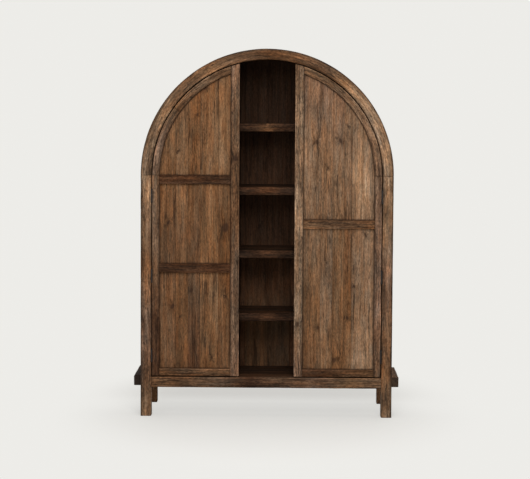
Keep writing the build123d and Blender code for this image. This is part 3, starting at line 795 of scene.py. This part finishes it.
# ---- Sides that show: an axis and the side of it ----
FRONT = (1, -1)
REAR = (1, 1)
TOP = (2, 1)
X, Y, Z = 0, 1, 2


def right_hand_box(node):
    """A node's box, moved to the right-hand side if it is on the left."""
    low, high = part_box(node)
    if high.x < 0:
        return Vector((-high.x, low.y, low.z)), Vector((-low.x, high.y, high.z))
    return low, high


def arch_top(radius):
    """The height of an arch of that radius over a place across the cabinet."""
    return lambda x: SPRING + np.sqrt(np.clip(radius**2 - x**2, 0, None))


def checks(dice, count, longest=0.2, side=0):
    """Drying cracks in one face, apart from each other."""
    cracks = []
    for i in range(count):
        at = (i + dice.uniform(*CHECK_PLACES)) / count
        first = dice.uniform(*CHECK_STARTS)
        last = first + dice.uniform(CHECK_SHORTEST, longest)
        width, depth = dice.uniform(*CHECK_WIDTHS), dice.uniform(*CHECK_DEPTHS)
        cracks.append((side, at, dice.uniform(*CHECK_DRIFTS), first, last, width, depth))
    return cracks


def boards(low, high, axis, widths):
    """The boxes of boards that lie side by side along one axis of a box, by their relative widths."""
    for near, far in shares(low[axis], high[axis], widths):
        first, last = list(low), list(high)
        first[axis], last[axis] = near, far
        yield first, last


def shuffled(dice, tones, count):
    """That many tones, in an order that repeats no tone twice running."""
    chosen = []
    for _ in range(count):
        left = [t for t in tones if not chosen or t != chosen[-1]]
        chosen.append(left[dice.integers(len(left))])
    return chosen


# ---- Frames ----
def hinge_pocket(side, timber_box):
    """An upright timber's pockets for its hinge leaves. Side +1 is the post's and -1 the door's."""
    low, high = timber_box
    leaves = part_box("right_hinge_frame_leaves" if side > 0 else "right_hinge_door_leaves")
    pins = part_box("right_hinge_pins")
    sunk = leaves[1].x - low.x if side > 0 else high.x - leaves[0].x
    inset = HINGE_HALF + PIN_HEAD
    reach = inset + POCKET_CLEARANCE
    middles = np.linspace(pins[0].z + inset, pins[1].z - inset, HINGES) - low.z
    rear = leaves[1].y + POCKET_CLEARANCE - (low.y + high.y) / 2
    return {
        "side": 3 if side > 0 else 1,
        "wall": min(rear, (high.y - low.y) / 2),
        "depth": sunk + BARREL_CLEARANCE,
        "spans": [(middle - reach, middle + reach) for middle in middles],
    }


# Values above 0 are dirt and painted shade on each edge; below 0, a painted highlight.
FRAME_EDGES = (0.15, 0.8, 0.3, 0.3)  # the outer edge is darkest: dirt, and painted shade where its rounding turns away
STILE_EDGES = (0.6, -0.5, 0.3, 0.3)  # and a door's outer edge is pale: a painted highlight
MEETING_EDGES = (-0.5, 0.7, 0.3, 0.3)
RAIL_EDGES = (0.4, -0.4, 0.3, 0.3)
MID_RAIL_EDGES = (0.0, 0.5, 0.3, 0.3)
BOTTOM_RAIL_EDGES = (0.3, -0.6, 0.3, 0.3)
SHELF_EDGES = (-0.35, 0.3, 0.3, 0.1)  # the shelf's front top edge has a painted highlight too
POST_TONES = {
    "front_post_left": (WHEAT, ROSE, ROSE, CHESTNUT, TAN, WHEAT),
    "front_post_right": (WHEAT, CHESTNUT, DRIFTWOOD, ROSE, WHEAT, WHEAT),
    "rear_post_left": (CHESTNUT, UMBER, WALNUT),
    "rear_post_right": (TAN, CHESTNUT, UMBER),
}
RIGHT_LEG_CRACK = (0, 0.66, 0.01, 0.04, 0.10, 0.0026, 0.006)
LEFT_LEG_CRACK = (0, 0.30, 0.0, 0.16, 0.30, 0.0016, 0.004)


def build_posts():
    for side in ("left", "right"):
        for name, face in ((f"front_post_{side}", FRONT), (f"rear_post_{side}", REAR)):
            dice = dice_for(name)
            low, high = right_hand_box(name)
            options = {"cracks": checks(dice, 2, side=1) + checks(dice, 2, side=3), "edges": FRAME_EDGES}
            rounds = FRAME_ROUNDS if face == FRONT else REAR_FRAME_ROUNDS
            if face == FRONT:
                options["cracks"].append(RIGHT_LEG_CRACK if side == "right" else LEFT_LEG_CRACK)
                options["pocket"] = hinge_pocket(1, (low, high))
            else:
                low.y += REAR_INSET
                options["cracks"] += checks(dice, 2)
            parts = [straight(dice, low, high, Z, face, POST_TONES[name], rounds, **options)]
            if side == "left":
                parts = mirrored(parts)
            dress(name, parts, TIMBER)


ARCH_TONES = (  # from the right-hand springing round to the left-hand one
    (WHEAT, STRAW, STRAW),
    (STRAW, STRAW, HONEY, UMBER),
    (UMBER, CHESTNUT, CHESTNUT),
    (CHESTNUT, UMBER, HONEY),
    (HONEY, TAN, WHEAT),
    (WHEAT, WHEAT, WHEAT),
)


ARCH_GRAIN = dice_for("arch").uniform(-GRAIN_SPREAD, GRAIN_SPREAD, 3)  # one run of grain round each arch


def arch_piece(name, number, depths, rounds, tones):
    """One of the segments that an arch is made of, counted from the right-hand springing."""
    dice = dice_for(f"{name}_{number}")
    sweep = pi / ARCH_SEGMENTS
    cracks = checks(dice, 2, longest=0.5) + checks(dice, 1, longest=0.5, side=1)
    radii = (INNER_RADIUS, OUTER_RADIUS)
    limits = (number * sweep, (number + 1) * sweep)
    ends = (number, number + 1)
    joints = [CLOSE_JOINT if 0 < end < ARCH_SEGMENTS else SPRINGING_JOINT for end in ends]
    options = {"cracks": cracks, "edges": FRAME_EDGES, "joints": joints}
    options["grain_at"] = ARCH_GRAIN + np.array((0.0, sum(radii) / 2 * limits[0], 0.0))
    return curved(dice, radii, depths, *limits, tones, rounds, **options)


def build_arches():
    for number in range(ARCH_SEGMENTS):
        name = f"front_arch_segment_{number + 1}"
        piece = arch_piece(name, number, (POST[0].y, POST[1].y), FRAME_ROUNDS, ARCH_TONES[number])
        dress(name, [piece], TIMBER)
    depths = (REAR_POST[1].y, REAR_POST[0].y + REAR_INSET)
    name = "rear_arch_segments"
    tones = shuffled(dice_for(name), (UMBER, WALNUT, CHESTNUT), ARCH_SEGMENTS)
    parts = [arch_piece(name, i, depths, REAR_FRAME_ROUNDS, (tones[i],)) for i in range(ARCH_SEGMENTS)]
    dress(name, parts, TIMBER)


# ---- Rails, runners and floor ----
def build_base():
    for name, face, tones in (
        ("front_rail", FRONT, (CHESTNUT, CHESTNUT, DRIFTWOOD, WALNUT, UMBER, ROSE, HONEY, TAN)),
        ("rear_rail", REAR, (UMBER, WALNUT)),
    ):
        dice = dice_for(name)
        low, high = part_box(name)
        low.x, high.x = -INNER_RADIUS - SEAT, INNER_RADIUS + SEAT
        options = {"cracks": checks(dice, 3) + checks(dice, 1, side=1), "edges": RAIL_EDGES}
        parts = [straight(dice, low, high, X, face, tones, RAIL_ROUNDS, **options)]
        dress(name, parts, TIMBER)
    for side in ("left", "right"):
        name = f"side_runner_{side}"
        dice = dice_for(name)
        low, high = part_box(name)
        low.y, high.y = POST[1].y, REAR_POST[0].y
        cracks = checks(dice, 3, longest=0.5) + checks(dice, 2, longest=0.5, side=1)
        # The left runner's darker tones are painted shade; the right one is paler.
        tones = (TAN, DRIFTWOOD) if side == "right" else (SOOT, WALNUT)
        parts = [straight(dice, low, high, Y, TOP, tones, RUNNER_ROUNDS, cracks=cracks)]
        dress(name, parts, TIMBER)
    name = "floor_boards"
    dice = dice_for(name)
    low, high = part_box(name)
    tones = shuffled(dice, (WALNUT, SOOT, PITCH), FLOOR_BOARDS)
    parts = []
    for box, tone in zip(boards(low, high, Y, [1] * FLOOR_BOARDS), tones):
        cracks = checks(dice, 1)
        parts.append(straight(dice, *box, X, TOP, (tone,), BOARD_ROUNDS, edge_sway=0, cracks=cracks))
    dress(name, parts, DARK_TIMBER)


# ---- Sides, roof and back ----
def build_sides():
    for side, sign in (("left", -1), ("right", 1)):
        name = f"side_boards_{side}"
        dice = dice_for(name)
        low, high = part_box(name)
        tones = shuffled(dice, (CHESTNUT, ROSE, OLIVE, HONEY, DRIFTWOOD), 2 * SIDE_BOARDS)
        parts = []
        for i, box in enumerate(boards(low, high, Y, [1] * SIDE_BOARDS)):
            options = {"edge_sway": 0, "cracks": checks(dice, 2)}
            shades = tones[2 * i : 2 * i + 2]
            parts.append(straight(dice, *box, Z, (X, sign), shades, BOARD_ROUNDS, **options))
        dress(name, parts, TIMBER)


def stave(dice, number, tones):
    """A bevelled stave of the roof, lying front to back."""
    turn = pi / STAVES
    middle = (number + 0.5) * turn
    outer = SHELL[1].x * cos(turn / 2)
    depth = outer - SHELL[0].x
    width = 2 * SHELL[1].x * sin(turn / 2)
    length = SHELL[1].y - SHELL[0].y
    out = np.array((cos(middle), 0.0, sin(middle)))
    aside = np.array((-sin(middle), 0.0, cos(middle)))

    def place(s, across, through):
        radial = outer - (through + depth / 2)
        narrowed = across * radial / outer
        points = radial[..., None] * out + narrowed[..., None] * aside
        points[..., 1] = SHELL[0].y + s
        points[..., 2] += SPRING
        return points

    axes = (aside, (0.0, 1.0, 0.0), out)
    options = {"cracks": checks(dice, 1, 0.6), "edge_sway": 0}
    return timber(dice, (length, width, depth), place, axes, tones, BOARD_ROUNDS, **options)


def build_roof():
    name = "roof_staves"
    dice = dice_for(name)
    tones = shuffled(dice, (CHESTNUT, OLIVE, HONEY, ROSE, DRIFTWOOD), STAVES)
    parts = [stave(dice, i, (tones[i],)) for i in range(STAVES)]
    dress(name, parts, TIMBER)


BACK_KNOT = (-0.045, 0.560, 0.016)


def build_back():
    name = "back_boards"
    dice = dice_for(name)
    low, high = BACK
    tones = shuffled(dice, (RUSSET, UMBER, CHESTNUT), BACK_BOARDS)
    parts = []
    for box, tone in zip(boards(low, high, X, [1] * BACK_BOARDS), tones):
        knots = [BACK_KNOT] if box[0][0] < BACK_KNOT[0] < box[1][0] else []
        # The tones darken towards the top as painted shade inside the cabinet.
        shades = (tone, tone, RUSSET, MURK, MURK, MURK, SOOT, SOOT)
        options = {"top": arch_top(high.x), "cracks": checks(dice, 1), "knots": knots, "edge_sway": 0}
        options["behind"] = shuffled(dice, (HONEY, CHESTNUT, ROSE, TAN), 3)
        parts.append(straight(dice, *box, Z, FRONT, shades, BOARD_ROUNDS, **options))
    dress(name, parts, DARK_TIMBER)


# ---- Partitions and shelves ----
def build_partitions():
    for side in ("left", "right"):
        name = f"partition_{side}"
        dice = dice_for(name)
        low, high = PARTITION
        behind = POST[1].y - PANEL_GAP
        radii = (INNER_RADIUS - PANEL_GAP, SHELL[0].x - PANEL_GAP)
        spans = ((low.y, behind, radii[0]), (behind, high.y, radii[1]))
        parts = []
        for (near, far, radius), rounds in zip(spans, (PARTITION_ROUNDS, BOARD_ROUNDS)):
            box = ((low.x, near, low.z), (high.x, far, SPRING + radius))
            options = {"top": arch_top(radius), "cracks": checks(dice, 2), "chips": 1.0}
            parts.append(straight(dice, *box, Z, (X, -1), (SOOT, PITCH), rounds, **options))
        if side == "left":
            parts = mirrored(parts)
        dress(name, parts, DARK_TIMBER)


SHELF_TONES_WITH_SHADE = (  # the front planks' tones from the left, from the lowest shelf up, darker at both ends as painted shade from the doors
    (SOOT, MURK, WALNUT, MURK, SOOT),
    (PITCH, SOOT, MURK, SOOT, PITCH),
    (PITCH, MURK, RUSSET, MURK, PITCH),
    (SOOT, WALNUT, CHESTNUT, WALNUT, SOOT),
)


def shelf(dice, low, high, front_tones, rear_tones):
    """A shelf of a few planks side by side, the front one with worn edges."""
    parts = []
    for number, box in enumerate(boards(low, high, Y, [1] * SHELF_PLANKS)):
        if number == 0:
            options = {"edge_sway": SWAY, "cracks": checks(dice, 1, side=3), "edges": SHELF_EDGES}
            parts.append(straight(dice, *box, X, TOP, front_tones, SHELF_ROUNDS, **options))
        else:
            options = {"edge_sway": 0, "cracks": checks(dice, 1)}
            tones = (rear_tones[dice.integers(len(rear_tones))],)
            parts.append(straight(dice, *box, X, TOP, tones, BOARD_ROUNDS, **options))
    return parts


def build_shelves():
    centre = sorted(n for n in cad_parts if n.startswith("centre_shelf_"))
    for name, tones in zip(centre, SHELF_TONES_WITH_SHADE):
        dice = dice_for(name)
        dress(name, shelf(dice, *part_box(name), tones, (SOOT, PITCH)), SHELF_TIMBER)
    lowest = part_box(centre[0])[1].z
    pitch = (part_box(centre[-1])[1].z - lowest) / (len(centre) - 1)
    for side in ("left", "right"):
        name = f"side_shelves_{side}"
        dice = dice_for(name)
        low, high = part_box(name)
        thickness = lowest - low.z
        parts = []
        for level in range(SIDE_SHELVES):
            top = lowest + level * pitch
            ends = Vector((low.x, low.y, top - thickness)), Vector((high.x, high.y, top))
            parts += shelf(dice, *ends, (WALNUT, SOOT), (WALNUT, SOOT))
        dress(name, parts, DARK_TIMBER)


# ---- Doors ----
# Boards from the meeting edge outwards, on the right-hand side's measures: each one's tones from the bottom
# up and its knots as (x, z, radius). Cracks are (face, place, drift, start, end, width, depth) by board.
LEFT_BOARDS = (
    ((CHESTNUT, AMBER, AMBER, HONEY, HONEY), ((0.239, 1.101, 0.022), (0.236, 0.700, 0.006))),
    ((AMBER, HONEY, AMBER, HONEY, AMBER), ((0.316, 0.342, 0.007), (0.360, 1.910, 0.012))),
    ((RUSSET, UMBER, CHESTNUT, AMBER, AMBER), ((0.436, 0.735, 0.012), (0.404, 1.753, 0.008))),
    ((CHESTNUT, AMBER, CHESTNUT, HONEY, HONEY), ((0.510, 1.545, 0.006), (0.503, 0.580, 0.007))),
    ((CHESTNUT, CHESTNUT, CHESTNUT, AMBER, HONEY), ((0.546, 0.640, 0.014), (0.570, 1.130, 0.010))),
)
RIGHT_BOARDS = (
    ((CHESTNUT, HONEY, TAN, TAN, ROSE), ((0.299, 0.522, 0.009), (0.287, 1.599, 0.012))),
    ((HONEY, TAN, TAN, TAN, ROSE), ((0.345, 0.900, 0.005), (0.352, 1.450, 0.005))),
    ((AMBER, HONEY, HONEY, TAN, ROSE), ((0.395, 0.331, 0.013), (0.423, 1.607, 0.012))),
    ((HONEY, AMBER, CHESTNUT, TAN, TAN), ((0.470, 0.580, 0.010), (0.466, 1.690, 0.006))),
    ((WHEAT, TAN, TAN, WHEAT, TAN), ((0.572, 1.063, 0.011), (0.508, 0.764, 0.008))),
)
LEFT_CRACKS = {
    2: [(0, 0.30, 0.14, 0.035, 0.095, 0.0042, 0.006), (0, 0.62, -0.10, 0.03, 0.07, 0.0034, 0.005)],
    3: [(0, 0.10, -0.02, 0.62, 0.70, 0.0032, 0.005), (0, 0.45, 0.14, 0.655, 0.70, 0.0042, 0.006)],
}
RIGHT_CRACKS = {
    2: [(0, 0.13, 0.0, 0.545, 0.59, 0.0038, 0.005), (0, 0.62, -0.34, 0.055, 0.135, 0.0046, 0.006)],
    3: [(0, 0.30, -0.12, 0.03, 0.10, 0.0036, 0.005)],
}
STILE_TONES = {
    "left": {
        "inner_stile": (ROSE, DRIFTWOOD, DRIFTWOOD, CHESTNUT, CHESTNUT, TAN, ROSE),
        "outer_stile": (RUSSET, RUSSET, UMBER, DRIFTWOOD, TAN),
        "bottom_rail": (CHESTNUT, CHESTNUT, UMBER, CHESTNUT),
        "mid_rail_1": (WALNUT, WALNUT, WALNUT),
        "mid_rail_2": (MURK, WALNUT, WALNUT),
        "arch_stile_lower": (DRIFTWOOD, ROSE, HONEY),
        "arch_stile_upper": (AMBER, TAN, HONEY),
    },
    "right": {
        "inner_stile": (ROSE, WHEAT, WHEAT, WHEAT, TAN, WHEAT, TAN),
        "outer_stile": (UMBER, ROSE, ROSE, ROSE, DRIFTWOOD),
        "bottom_rail": (RUSSET, RUSSET, UMBER, CHESTNUT),
        "mid_rail_1": (CHESTNUT, UMBER, CHESTNUT),
        "arch_stile_lower": (DRIFTWOOD, TAN, TAN),
        "arch_stile_upper": (TAN, HONEY),
    },
}
INNER_STILE_KNOTS = {"left": ((0.182, 1.505, 0.015),), "right": ((0.179, 0.543, 0.013),)}


def door_boards(side, dice):
    """A door's boards as right-hand timbers, cut round at the top."""
    design, widths, cracked = (
        (LEFT_BOARDS, LEFT_BOARD_SHARES, LEFT_CRACKS)
        if side == "left"
        else (RIGHT_BOARDS, RIGHT_BOARD_SHARES, RIGHT_CRACKS)
    )
    low, high = DOOR
    high = (high.x, high.y, SPRING + DOOR_RADIUS)
    parts = []
    for number, box in enumerate(boards(low, high, X, widths)):
        tones, knots = design[number]
        own = cracked.get(number) or checks(dice, 1 if number == 3 else 2, 0.12)
        options = {"top": arch_top(DOOR_RADIUS), "cracks": own, "knots": list(knots), "edge_sway": 0}
        if number == len(widths) - 1:
            options["step"] = 0.5
        parts.append(straight(dice, *box, Z, FRONT, tones, BOARD_ROUNDS, **options))
    return parts


def door_frame(side, dice):
    """A door's stiles and rails as right-hand timbers by name."""
    tones = STILE_TONES[side]
    radii = (OUTER_STILE[0].x, OUTER_STILE[1].x)
    depths = (OUTER_STILE[0].y, OUTER_STILE[1].y)
    stile_edge = INNER_STILE[1].x
    sweep = acos(stile_edge / radii[1])
    pieces = {}
    grain_at = dice.uniform(-GRAIN_SPREAD, GRAIN_SPREAD, 3)
    for name, start, end, end_x, joints in (
        ("arch_stile_lower", 0.0, sweep / 2, None, (OPEN_JOINT, CLOSE_JOINT)),
        ("arch_stile_upper", sweep / 2, sweep, stile_edge, (CLOSE_JOINT, OPEN_JOINT)),
    ):
        cracks = checks(dice, 1)
        options = {"end_x": end_x, "cracks": cracks, "edges": STILE_EDGES, "joints": joints}
        options["grain_at"] = grain_at + np.array((0.0, sum(radii) / 2 * start, 0.0))
        pieces[name] = curved(dice, radii, depths, start, end, tones[name], ARCH_STILE_ROUNDS, **options)
    low, high = INNER_STILE
    box = ((low.x, low.y, low.z), (high.x, high.y, SPRING + DOOR_RADIUS))
    options = {"top": arch_top(DOOR_RADIUS), "knots": list(INNER_STILE_KNOTS[side])}
    options.update(cracks=checks(dice, 2), edges=MEETING_EDGES)
    pieces["inner_stile"] = straight(dice, *box, Z, FRONT, tones["inner_stile"], STILE_ROUNDS, **options)
    options = {"cracks": checks(dice, 2), "pocket": hinge_pocket(-1, OUTER_STILE), "edges": STILE_EDGES}
    pieces["outer_stile"] = straight(
        dice, *OUTER_STILE, Z, FRONT, tones["outer_stile"], STILE_ROUNDS, **options
    )
    for name in tones:
        if "rail" in name:
            low, high = right_hand_box(f"{side}_door_{name}")
            low.x, high.x = low.x - SEAT, high.x + SEAT
            cracks = checks(dice, 1)
            edges = BOTTOM_RAIL_EDGES if name == "bottom_rail" else MID_RAIL_EDGES
            options = {"cracks": cracks, "edges": edges}
            pieces[name] = straight(dice, low, high, X, FRONT, tones[name], STILE_ROUNDS, **options)
    return pieces


def build_doors():
    for side in ("left", "right"):
        body = f"{side}_door"
        dice = dice_for(body)
        pieces = {name: [part] for name, part in door_frame(side, dice).items()}
        pieces["boards"] = door_boards(side, dice)
        for name, parts in pieces.items():
            if side == "left":
                parts = mirrored(parts)
            material = BOARD_TIMBER[side] if name == "boards" else STILE_TIMBER
            if "rail" in name:
                material = RAIL_TIMBER
            dress(f"{body}_{name}", parts, material, body)


# ---- What stays as the CAD has it ----
def finish_cad_nodes():
    """Gives the CAD nodes that show their own finishes."""
    bare = wood("plain_inner_timber", tone=WALNUT, patina=0.3, warmth=0.3, gloss=0.05)
    iron = metal("hinge_iron", (0.17, 0.155, 0.145), 0.7, 0.55, 0.62)
    steel = metal("screw_steel", (0.34, 0.33, 0.32), 0.5, 0.85, 0.50)
    satin = metal("catch_metal", (0.46, 0.45, 0.44), 0.25, 0.85, 0.42)
    for name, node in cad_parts.items():
        if node.hide_render:
            continue
        material = bare
        if "hinge" in name:
            material = steel if "screws" in name else iron
        elif "strike" in name or "catch" in name:
            material = satin
        node.data.materials.clear()
        node.data.materials.append(material)


# ---- Stage, light and camera ----
def seen_directly(g):
    """1 for rays that show the stage to the camera, to a gloss or through glass, as a socket."""
    path = g.add("ShaderNodeLightPath", {}).outputs
    seen = g.math("MAXIMUM", path["Is Camera Ray"], path["Is Glossy Ray"])
    return g.math("MAXIMUM", seen, path["Is Transmission Ray"])


def build_world():
    """A pale background, and an even light of its own for everything else."""
    world = bpy.data.worlds.new("studio")
    bpy.context.scene.world = world
    world.use_nodes = True
    g = Graph(world.node_tree)
    light = g.tree.nodes["Background"]
    g.put(light.inputs["Color"], WORLD_TINT)
    g.put(light.inputs["Strength"], WORLD_LIGHT)
    seen = g.add("ShaderNodeBackground", {"Color": rgba(BACKGROUND)})
    mixed = g.add("ShaderNodeMixShader", {0: seen_directly(g), 1: light.outputs[0], 2: seen.outputs[0]})
    g.put(g.tree.nodes["World Output"].inputs["Surface"], mixed.outputs[0])


def floor_material():
    """A pale floor that holds the cabinet's shadow and fades into the background further out."""
    g = Look("pale_floor")
    g.put(g.shader.inputs["Base Color"], rgba(FLOOR_ALBEDO))
    g.shader.inputs["Roughness"].default_value = 1.0
    g.shader.inputs["Specular IOR Level"].default_value = 0.0
    place = g.add("ShaderNodeNewGeometry", {}).outputs["Position"]
    away = g.length(g.times(place, SHADOW_SQUEEZE))
    shading = g.span(away, SHADOW_NEAR, SHADOW_FAR, SHADOW_WEIGHT, 0.0)
    off_middle = g.math("ABSOLUTE", g.math("SUBTRACT", g.split(place)[1], UNDER_MIDDLE))
    shading = g.product(shading, g.span(off_middle, 0.0, UNDER_REACH, UNDER_SHARE, 1.0))
    rest = g.math("MULTIPLY_ADD", shading, -OPEN_FLOOR, 1.0)
    glow = g.add("ShaderNodeEmission", {"Color": rgba(BACKGROUND), "Strength": rest})
    shaded = g.add("ShaderNodeMixShader", {0: shading, 2: g.shader.outputs[0]})
    both = g.add("ShaderNodeAddShader", {0: shaded.outputs[0], 1: glow.outputs[0]})
    chosen = {0: seen_directly(g), 1: g.shader.outputs[0], 2: both.outputs[0]}
    mixed = g.add("ShaderNodeMixShader", chosen)
    g.put(g.tree.nodes["Material Output"].inputs["Surface"], mixed.outputs[0])
    return g.material


def build_stage():
    mesh = bpy.data.meshes.new("floor")
    r = FLOOR_REACH
    mesh.from_pydata([(-r, -r, 0), (r, -r, 0), (r, r, 0), (-r, r, 0)], [], [(0, 1, 2, 3)])
    floor = placed("floor", mesh)
    mesh.materials.append(floor_material())


def build_lamps():
    for name, (place, size, power) in LAMPS.items():
        light = bpy.data.lights.new(name, "AREA")
        light.shape = "DISK"
        light.size = size
        light.energy = power
        lamp = placed(name, light)
        lamp.location = place
        aim = Vector(LAMP_AIM) - Vector(place)
        lamp.rotation_mode = "QUATERNION"
        lamp.rotation_quaternion = aim.to_track_quat("-Z", "Y")


def build_camera():
    camera = bpy.data.cameras.new("camera")
    camera.lens = CAMERA_LENS
    camera.shift_y = CAMERA_SHIFT
    mount = placed("camera", camera)
    yaw = Matrix.Rotation(radians(CAMERA_YAW), 3, "Z")
    tilt = Matrix.Rotation(radians(90 - CAMERA_PITCH), 3, "X")
    turn = yaw @ tilt @ Matrix.Rotation(radians(CAMERA_ROLL), 3, "Z")
    mount.matrix_world = Matrix.Translation(CAMERA_PLACE) @ turn.to_4x4()
    bpy.context.scene.camera = mount


build_camera()
build_posts()
build_arches()
build_base()
build_sides()
build_roof()
build_back()
build_partitions()
build_shelves()
build_doors()
finish_cad_nodes()
build_world()
build_stage()
build_lamps()
bpy.context.scene.view_settings.view_transform = "Standard"

bpy.context.view_layer.update()
